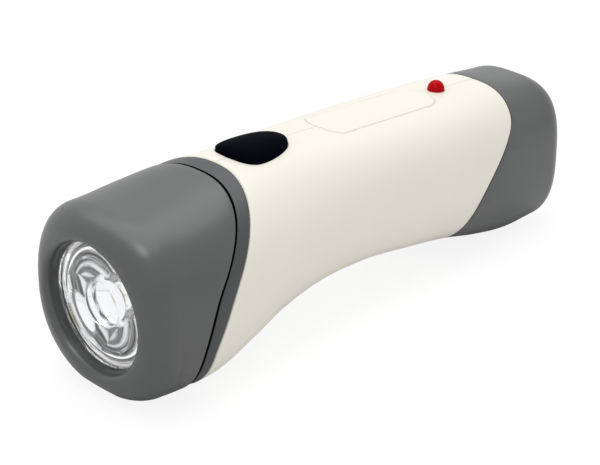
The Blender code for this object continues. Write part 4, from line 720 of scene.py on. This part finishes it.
def plateShape(name, grow, high, low, edge=0.0):
    # the plate, or its recess: high and low are how far its two faces lie below the roof
    half, count, columns = plate["width"] / 2, plate["sideRows"], plate["halfColumns"]
    front, rear = plate["start"] - grow, plate["end"] + grow
    shares = [(k / plate["bowRows"]) ** 2 for k in range(1, plate["bowRows"] + 1)]
    widths = [half * math.sqrt(1 - (1 - s) ** plate["cornerPower"]) for s in shares]
    stations = [(front + plate["frontBow"] * s, width) for s, width in zip(shares, widths)]
    start, end = front + plate["frontBow"], rear - plate["rearBow"]
    stations += [(start + (end - start) * k / count, half) for k in range(1, count)]
    stations += [(rear - plate["rearBow"] * s, width)
                 for s, width in zip(reversed(shares), reversed(widths))]
    rows = []
    for y, width in stations:
        places = [(width + grow) * k / columns for k in range(-columns, columns + 1)]
        rows.append([Vector((x, y, roofHeight(x, y) - high)) for x in places]
                    + [Vector((x, y, roofHeight(x, y) - low)) for x in reversed(places)])
    bm = bmesh.new()
    extrudeRows(bm, rows, closedRows=True)
    closeEnds(bm)
    if edge:
        bmesh.ops.recalc_face_normals(bm, faces=bm.faces)
        bm.normal_update()
        rim = [e for e in bm.edges if len(e.link_faces) == 2
               and e.calc_face_angle() > math.radians(plate["edgeAngle"])
               and all(v.co.z > roofHeight(v.co.x, v.co.y) for v in e.verts)]
        bevelEdges(bm, rim, edge)
    return makeMesh(name, bm)


light = dict(y=130.417 * mm, radius=2.5 * mm, flange=0.45 * mm, flangeHeight=1 * mm,
             shoulder=0.4 * mm, holeGap=0.12 * mm, coreInset=3.9 * mm, lead=0.5 * mm,
             leadPitch=2.54 * mm, boardTop=28.2 * mm, domeSteps=16, steps=64)


def makeLight():
    g = light
    under = roofHeight(0, g["y"], g["coreInset"]) - form["gap"]
    base, flange = under - g["flangeHeight"], g["radius"] + g["flange"]
    shoulder = roofHeight(0, g["y"]) + g["shoulder"]
    profile = [(0, base), (flange, base), (flange, under), (g["radius"], under)]
    profile += [(g["radius"] * cosine, shoulder + g["radius"] * sine)
                for cosine, sine in arcSteps(g["domeSteps"])]
    piece = turnMesh("chargeLight", profile, (0, g["y"], 0), (0, 0, 1), g["steps"])
    leads = []
    for side in (1, -1):
        y, half = g["y"] + side * g["leadPitch"] / 2, g["lead"] / 2
        lead = boxMesh("lead" + str(side), (-half, y - half, g["boardTop"] + form["gap"]),
                       (half, y + half, base + g["flangeHeight"] / 2))
        leads.append((lead, "UNION"))
    reshape(piece, leads)
    finishPiece(piece, look["red"], "body", "red_lens", "indicator_led")


makeButton()
finishPiece(plateShape("barePlate", -plate["groove"], -plate["rise"],
                       plate["thickness"] - plate["groove"], edge=plate["edge"]),
            look["creamPlastic"], "body", "cream_plastic", "nameplate", angle=60)
makeLight()
print("top fittings built")

# Housing halves: a fine skin over the CAD halves' own inside
housing = dict(seam=0.05 * mm, skin=1.6 * mm, coreInset=1 * mm, seamRound=0.16 * mm,
               seamAngle=60, rows=64, innerRows=20, coreFront=2 * mm, coreRear=16 * mm,
               coreRows=40, overrun=3 * mm, openingGap=0.22 * mm, wellRadius=2.82 * mm,
               wellSeat=7.95 * mm, wellWall=0.25 * mm, wellSteps=48, limitRows=41,
               bosses=[(50.254 * mm, 13.825 * mm), (73.654 * mm, 45.920 * mm),
                       (127.264 * mm, 22.500 * mm), (137.767 * mm, 39.916 * mm)])


def seamEdges(bm):
    found = []
    for edge in bm.edges:
        if len(edge.link_faces) == 2 and edge.calc_face_angle() > math.radians(housing["seamAngle"]):
            if all(abs(abs(v.co.x) - housing["seam"]) < touchWithin for v in edge.verts):
                found.append(edge)
    return found


def trimmedCore(word):
    # the CAD half without its outer skin
    h = housing
    front, rear = nose["sleeveFront"] - h["coreFront"], form["length"] - h["coreRear"]
    rows = [fullRing(flatEdge(front + (rear - front) * k / h["coreRows"]), h["coreInset"])
            for k in range(h["coreRows"] + 1)]
    core = cadCopy("inside" + word, "housing_" + word)
    return reshape(core, [(rowMesh("trim", rows), "INTERSECT")])


def lightHole():
    low = roofHeight(0, light["y"], light["coreInset"]) - light["flangeHeight"]
    profile = rodProfile(low, form["height"] + housing["overrun"], light["radius"] + light["holeGap"])
    return turnMesh("lightHole", profile, (0, light["y"], 0), (0, 0, 1), light["steps"])


def screwWells():
    # they stop short of the tail's split line, so a thin wall is left there
    h = housing
    bm = bmesh.new()
    for y, z in h["bosses"]:
        turn(bm, rodProfile(h["wellSeat"], form["width"], h["wellRadius"]), (0, y, z),
             (-1, 0, 0), h["wellSteps"])
    limit = splitEdge("tailSplit", -form["gap"] - form["edge"] - h["wellWall"])
    heights = np.linspace(0, form["height"], h["limitRows"])
    outline = [Vector((0, y, z)) for y, z in zip(limit(heights), heights)]
    outline += [Vector((0, 0, form["height"])), Vector((0, 0, 0))]
    tool = outlineMesh("wellLimit", outline, Vector((-form["width"], 0, 0)))
    return reshape(makeMesh("wells", bm), [(tool, "INTERSECT")])


def makeHalf(word, side):
    h = housing
    front, rear = edgeRows("collarSplit", form["gap"], 1), edgeRows("tailSplit", -form["gap"], -1)
    outFront = splitEdge("collarSplit", form["gap"] + form["edge"])
    outRear = splitEdge("tailSplit", -form["gap"] - form["edge"])
    inFront, inRear = splitEdge("collarSplit", form["gap"]), splitEdge("tailSplit", -form["gap"])
    plan = front + [(blendEdge(outFront, outRear, k / h["rows"]), 0) for k in range(1, h["rows"])]
    plan += rear[::-1]
    plan += [(blendEdge(inRear, inFront, k / h["innerRows"]), h["skin"])
             for k in range(h["innerRows"] + 1)]
    bm = bmesh.new()
    extrudeRows(bm, [halfRing(edge, inset, side, h["seam"]) for edge, inset in plan],
                closedRows=False, wrap=True)
    closeEnds(bm)
    bmesh.ops.recalc_face_normals(bm, faces=bm.faces)
    bevelEdges(bm, seamEdges(bm), h["seamRound"])
    half = makeMesh("housing" + word.capitalize(), bm)
    opening = outlineMesh("opening", atHeight(buttonPlan(h["openingGap"]), button["flangeTop"]),
                          Vector((0, 0, form["height"])))
    recess = plateShape("recess", plate["groove"], -plate["toolRise"],
                        plate["thickness"] + plate["groove"])
    core, cuts = trimmedCore(word), [opening, recess, lightHole()]
    if side < 0:
        # cut before the core is joined, because the solver loses a well's wall afterwards
        reshape(half, [(screwWells(), "DIFFERENCE")])
        reshape(core, [(screwWells(), "DIFFERENCE")])
    reshape(half, [(core, "UNION")] + [(cut, "DIFFERENCE") for cut in cuts])
    finishPiece(half, look["creamPlastic"], "body", "cream_plastic", "housing_" + word)


makeHalf("right", 1)
makeHalf("left", -1)
print("housing built")

# Screws with a cross recess, down in the wells of the left half
screw = dict(shaft=1.4 * mm, head=2.4 * mm, headHeight=1.8 * mm, seat=8.3 * mm, reach=9 * mm,
             round=0.6 * mm, roundSteps=6, steps=40, slot=0.62 * mm, slotReach=1.55 * mm,
             slotDepth=1.1 * mm, overrun=1 * mm, firstTurn=31, turnStep=17)


def makeScrew(number, y, z):
    w = screw
    top = w["seat"] + w["headHeight"]
    profile = [(0, -w["reach"]), (w["shaft"], w["shaft"] - w["reach"]), (w["shaft"], w["seat"]),
               (w["head"], w["seat"])]
    profile += [(w["head"] - w["round"] * (1 - cosine), top - w["round"] * (1 - sine))
                for cosine, sine in arcSteps(w["roundSteps"])]
    piece = turnMesh("caseScrew" + str(number), profile + [(0, top)], (0, y, z), (-1, 0, 0),
                     w["steps"])
    across, along = w["slot"] / 2, w["slotReach"]
    arms = []
    for arm in (0, 1):
        bm = bmesh.new()
        addBox(bm, (-top - w["overrun"], -across, -along), (w["slotDepth"] - top, across, along))
        angle = math.radians(w["firstTurn"] + 90 * arm + w["turnStep"] * number)
        spin = Matrix.Translation((0, y, z)) @ Matrix.Rotation(angle, 4, "X")
        bmesh.ops.transform(bm, matrix=spin, verts=bm.verts)
        arms.append((makeMesh("arm" + str(arm), bm), "DIFFERENCE"))
    reshape(piece, arms)
    finishPiece(piece, look["steel"], "body", "zinc_steel", "housing_screw_" + str(number))


for number, (y, z) in enumerate(housing["bosses"], start=1):
    makeScrew(number, y, z)
print("screws built")

# Folding mains plug, and the tail cap with the bay that it folds into
plug = dict(height=15.5 * mm, setback=4.7 * mm, barrel=4.4 * mm, halfLength=8.6 * mm,
            stub=1.6 * mm, stubLength=2 * mm, swing=0.3 * mm, round=0.35 * mm, roundSteps=4,
            steps=72, bladePitch=12.7 * mm, bladeWidth=6.35 * mm, bladeThickness=1.5 * mm,
            bladeReach=16 * mm, bladeEdge=0.18 * mm, tipChamfer=1.4 * mm, tab=1.3 * mm,
            tabWidth=3 * mm, seatGap=0.15 * mm, hole=1.55 * mm, holeToTip=4.3 * mm,
            holeSteps=40, overrun=1 * mm)
axleY, axleZ = form["length"] - plug["setback"], plug["height"]
bladeTip = axleZ + plug["setback"] + plug["bladeReach"]
tail = dict(round=7.5 * mm, endWall=3.5 * mm, slotGap=0.4 * mm, bayHalf=11.8 * mm,
            bayDepth=12.2 * mm, baySkin=1.5 * mm, bayDrop=10.2 * mm, dish=10 * mm,
            dishDepth=3.6 * mm, dishBelow=3.2 * mm, contactWidth=3.2 * mm,
            contactWindow=0.3 * mm, hump=2.4 * mm, overrun=1 * mm, lip=0.22 * mm, lipAngle=25,
            flatAngle=0.2, shadowGap=0.15 * mm, innerRows=8, sideRows=16, endSteps=18,
            windowSteps=32, boreSteps=32, tabSteps=64, dishRows=48, dishSteps=96)


def acrossTurn(name, profile, x, y, z, steps):
    # turned about a line that runs across the body
    return turnMesh(name, profile, (x, y, z), (1, 0, 0), steps)


def tailSkin():
    t, end, wall = tail, form["length"], form["wall"]
    inner, shoulder = end - t["endWall"], flatEdge(end - t["round"])
    deep, split = flatEdge(end - t["round"] - wall), splitEdge("tailSplit", t["shadowGap"])
    outFront = splitEdge("tailSplit", t["shadowGap"] + form["edge"])
    rows = [fullRing(flatEdge(inner), t["round"] + form["edge"]),
            fullRing(flatEdge(inner - t["endWall"]), t["round"] / 2), fullRing(deep, wall)]
    rows += [fullRing(blendEdge(deep, split, k / t["innerRows"]), wall)
             for k in range(1, t["innerRows"] + 1)]
    rows += [fullRing(edge, inset) for edge, inset in edgeRows("tailSplit", t["shadowGap"], 1)]
    rows += [fullRing(blendEdge(outFront, shoulder, k / t["sideRows"]), 0)
             for k in range(1, t["sideRows"] + 1)]
    rows += [fullRing(flatEdge(end - t["round"] * (1 - sine)), t["round"] * (1 - cosine))
             for cosine, sine in arcSteps(t["endSteps"])[1:]]
    return rowMesh("tailCap", rows)


def softenRim(piece, y, width):
    # bevels the edges of the openings in the flat end face
    bm = bmesh.new()
    bm.from_mesh(piece.data)
    bmesh.ops.remove_doubles(bm, verts=bm.verts, dist=mergeWithin)
    bmesh.ops.dissolve_limit(bm, angle_limit=math.radians(tail["flatAngle"]), verts=bm.verts,
                             edges=bm.edges)
    rim = [edge for edge in bm.edges if len(edge.link_faces) == 2
           and all(abs(vert.co.y - y) < touchWithin for vert in edge.verts)
           and edge.calc_face_angle() > math.radians(tail["lipAngle"])]
    bevelEdges(bm, rim, width, clamp=True)
    print("rim edges:", len(rim), "open edges:", sum(not edge.is_manifold for edge in bm.edges))
    bm.to_mesh(piece.data)
    bm.free()


def makeTail():
    t, p, end = tail, plug, form["length"]
    wide, swing, over, gap = t["bayHalf"], p["swing"], t["overrun"], t["slotGap"]
    bayY, outside = end - t["bayDepth"], end + over
    bay = boxMesh("bay", (-wide, bayY, axleZ - t["bayDrop"]),
                  (wide, end - t["endWall"] + form["edge"], bladeTip + 2 * t["baySkin"]))
    barrel, reach = p["barrel"] + swing, p["halfLength"] + swing
    outline = [Vector((-reach, outside, axleZ - barrel))]
    outline += [Vector((-reach, axleY - barrel * sine, axleZ - barrel * cosine))
                for cosine, sine in arcSteps(t["windowSteps"], math.pi)]
    outline.append(Vector((-reach, outside, axleZ + barrel)))
    pin = reach + p["stubLength"]
    cuts = [outlineMesh("barrelWindow", outline, Vector((2 * reach, 0, 0))),
            acrossTurn("bore", rodProfile(-pin, pin, p["stub"] + swing), 0, axleY, axleZ,
                       t["boreSteps"])]
    slot, half = p["bladeThickness"] / 2 + gap, p["bladeWidth"] / 2 + gap
    sweep = math.hypot(p["barrel"] + p["tab"], p["tabWidth"] / 2) + swing
    window = (p["bladeThickness"] + t["contactWidth"] + t["contactWindow"]) / 2
    narrow = rodProfile(p["seatGap"] - slot, slot - p["seatGap"], sweep)
    for side in (-1, 1):
        x, word = side * p["bladePitch"] / 2, str(side)
        cuts += [boxMesh("slot" + word, (x - slot, axleY - half, axleZ),
                         (x + slot, outside, bladeTip + 2 * gap)),
                 acrossTurn("tabSlot" + word, narrow, x, axleY, axleZ, t["tabSteps"]),
                 boxMesh("window" + word, (x - window, bayY - over, axleZ - t["hump"]),
                         (x + window, axleY - p["barrel"] - p["tab"], axleZ + t["hump"]))]
    arc = [(t["dish"] * sine, -t["dish"] * cosine)
           for cosine, sine in arcSteps(t["dishRows"], math.pi)]
    arc[0], arc[-1] = (0, -t["dish"]), (0, t["dish"])  # both ends lie right on the axis
    centre = (0, end - t["dishDepth"] + t["dish"], bladeTip - t["dishBelow"])
    cuts.append(turnMesh("dish", arc, centre, (0, 1, 0), t["dishSteps"]))
    cap = reshape(tailSkin(), [(bay, "UNION")] + [(cut, "DIFFERENCE") for cut in cuts])
    softenRim(cap, end / 2, t["lip"])
    finishPiece(cap, look["greyPlastic"], "body", "grey_plastic", "tail_cap", angle=50)


def makeBlade(word, x):
    # the blade lies folded up, with its tab below the rotor
    p = plug
    thick, wide, tab = p["bladeThickness"] / 2, p["bladeWidth"] / 2, p["tabWidth"] / 2
    root, chamfer = axleZ - p["barrel"] + p["seatGap"], p["tipChamfer"]
    low = axleZ - p["barrel"] - p["tab"]
    corners = [(-tab, low), (tab, low), (tab, root), (wide, root), (wide, bladeTip - chamfer),
               (wide - chamfer, bladeTip), (chamfer - wide, bladeTip),
               (-wide, bladeTip - chamfer), (-wide, root), (-tab, root)]
    bm = bmesh.new()
    pushOutline(bm, [Vector((x - thick, axleY + y, z)) for y, z in corners],
                Vector((2 * thick, 0, 0)))
    bmesh.ops.recalc_face_normals(bm, faces=bm.faces)
    bevelEdges(bm, list(bm.edges), p["bladeEdge"])
    blade, drill = makeMesh("plugBlade" + word.capitalize(), bm), p["overrun"] + thick
    hole = acrossTurn("hole" + word, rodProfile(-drill, drill, p["hole"]), x, axleY,
                      bladeTip - p["holeToTip"], p["holeSteps"])
    reshape(blade, [(hole, "DIFFERENCE")])
    finishPiece(blade, look["brass"], "plug", "plated_brass", "blade_" + word)


def makePlug():
    p = plug
    half, stub, barrel = p["halfLength"], p["stub"], p["barrel"]
    endX = half + p["stubLength"]
    profile = [(0, -endX), (stub, -endX), (stub, -half), (barrel, -half), (barrel, half),
               (stub, half), (stub, endX), (0, endX)]
    rotor = acrossTurn("plugRotor", roundCorner(profile, p["round"], p["roundSteps"]), 0, axleY,
                       axleZ, p["steps"])
    thick, wide = p["bladeThickness"] / 2 + p["seatGap"], p["bladeWidth"] / 2 + p["seatGap"]
    high, seats = barrel + p["overrun"], []
    for side, word in ((-1, "left"), (1, "right")):
        x = side * p["bladePitch"] / 2
        seat = boxMesh("seat" + word, (x - thick, axleY - wide, axleZ - high),
                       (x + thick, axleY + wide, axleZ + high))
        seats.append((seat, "DIFFERENCE"))
        makeBlade(word, x)
    reshape(rotor, seats)
    finishPiece(rotor, look["darkPlastic"], "plug", "dark_plastic", "plug_rotor")


makeTail()
# painted shadow: a black ring down in the gap between housing and tail cap
makeShadeRing("tailShadeRing", "tailSplit", -form["gap"], tail["shadowGap"])
makePlug()
print("tail built")

# CAD nodes that keep their shape get their finish here
plainNodes = dict(
    gasketRubber=["lens_gasket"], phosphor=["led_emitter"], aluminium=["heat_spreader"],
    whiteInner=["optic_cradle", "switch_plunger", "led_board"],
    board=["switch_board", "charger_board"],
    blackPlastic=["switch_case", "bridge_rectifier", "smoothing_capacitor"],
    cellSleeve=["battery_cell_1", "battery_cell_2", "battery_cell_3"],
    nickel=["cell_tab_front", "cell_tab_rear"], filmCapacitor=["dropper_capacitor"],
    resistorBody=["fuse_resistor"], brass=["contact_spring_left", "contact_spring_right"],
    redInsulation=["led_wire_right", "cell_wire_front", "charge_wire_right"],
    blackInsulation=["led_wire_left", "cell_wire_rear", "charge_wire_left", "mains_wire_left",
                     "mains_wire_right"])
for finish, nodes in plainNodes.items():
    for node in nodes:
        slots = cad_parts[node].data.materials
        slots.clear()
        slots.append(look[finish])
print("CAD nodes dressed:", sum(map(len, plainNodes.values())))

# Floor, light and background
stage = dict(floorSize=6.0, floorDrop=0.02 * mm, floorColour=(0.86, 0.86, 0.86, 1),
             floorRoughness=0.9, floorGlow=0.82, glowStrength=1.06, worldLight=0.71,
             bounces=24, glossyBounces=12, glassBounces=16)
# name: place, aim, size, power
softboxes = dict(softboxTop=((-0.15, 0.1, 0.75), (0, 0, 0.03), 0.9, 3.0),
                 softboxKey=((0.14, -0.30, 0.72), (0, -0.03, 0.04), 0.2, 0.75))


def makeFloor():
    bm = bmesh.new()
    bmesh.ops.create_grid(bm, x_segments=2, y_segments=2, size=stage["floorSize"] / 2)
    bmesh.ops.translate(bm, vec=(0, 0, -stage["floorDrop"]), verts=bm.verts)
    floor = makeMesh("floor", bm, shift=False)
    material, tree, shader, out = blankMaterial("floor")
    setSockets(shader, {"Base Color": stage["floorColour"], "Roughness": stage["floorRoughness"],
                        "Specular IOR Level": 0})
    glow, mix, path = newNodes(tree, "Emission", "MixShader", "LightPath")
    share = operate(tree, "MULTIPLY", stage["floorGlow"])
    setSockets(glow, {"Strength": stage["glowStrength"]})
    join(tree, (path.outputs["Is Camera Ray"], share.inputs[0]), (share.outputs[0], mix.inputs[0]),
         (shader.outputs[0], mix.inputs[1]), (glow.outputs[0], mix.inputs[2]),
         (mix.outputs[0], out.inputs["Surface"]))
    floor.data.materials.append(material)


def makeWorld():
    # white where it is seen, straight or in a reflection, and softer as a light
    world = bpy.data.worlds.new("studio")
    bpy.context.scene.world = world
    world.use_nodes = True
    tree = world.node_tree
    background, path = tree.nodes["Background"], tree.nodes.new("ShaderNodeLightPath")
    setSockets(background, {"Color": (1, 1, 1, 1)})
    seen, glass = operate(tree, "MAXIMUM"), operate(tree, "MAXIMUM")
    level = operate(tree, "MULTIPLY_ADD", 1 - stage["worldLight"])
    level.inputs[2].default_value = stage["worldLight"]
    join(tree, (path.outputs["Is Camera Ray"], seen.inputs[0]),
         (path.outputs["Is Glossy Ray"], seen.inputs[1]), (seen.outputs[0], glass.inputs[0]),
         (path.outputs["Is Transmission Ray"], glass.inputs[1]),
         (glass.outputs[0], level.inputs[0]), (level.outputs[0], background.inputs["Strength"]))


def addSoftbox(name, place, aim, size, power):
    lamp = bpy.data.lights.new(name, "AREA")
    lamp.shape, lamp.size, lamp.size_y, lamp.energy = "RECTANGLE", size, size, power
    piece = addObject(name, lamp)
    piece.location = place
    piece.rotation_mode = "QUATERNION"
    piece.rotation_quaternion = (Vector(aim) - Vector(place)).to_track_quat("-Z", "Y")


makeFloor()
makeWorld()
for name, values in softboxes.items():
    addSoftbox(name, *values)
bpy.context.scene.view_settings.view_transform = "Standard"
cycles = bpy.context.scene.cycles  # light bounces many times between the optic and its cup
cycles.max_bounces = stage["bounces"]
cycles.glossy_bounces = stage["glossyBounces"]
cycles.transmission_bounces = stage["glassBounces"]
print("stage set")
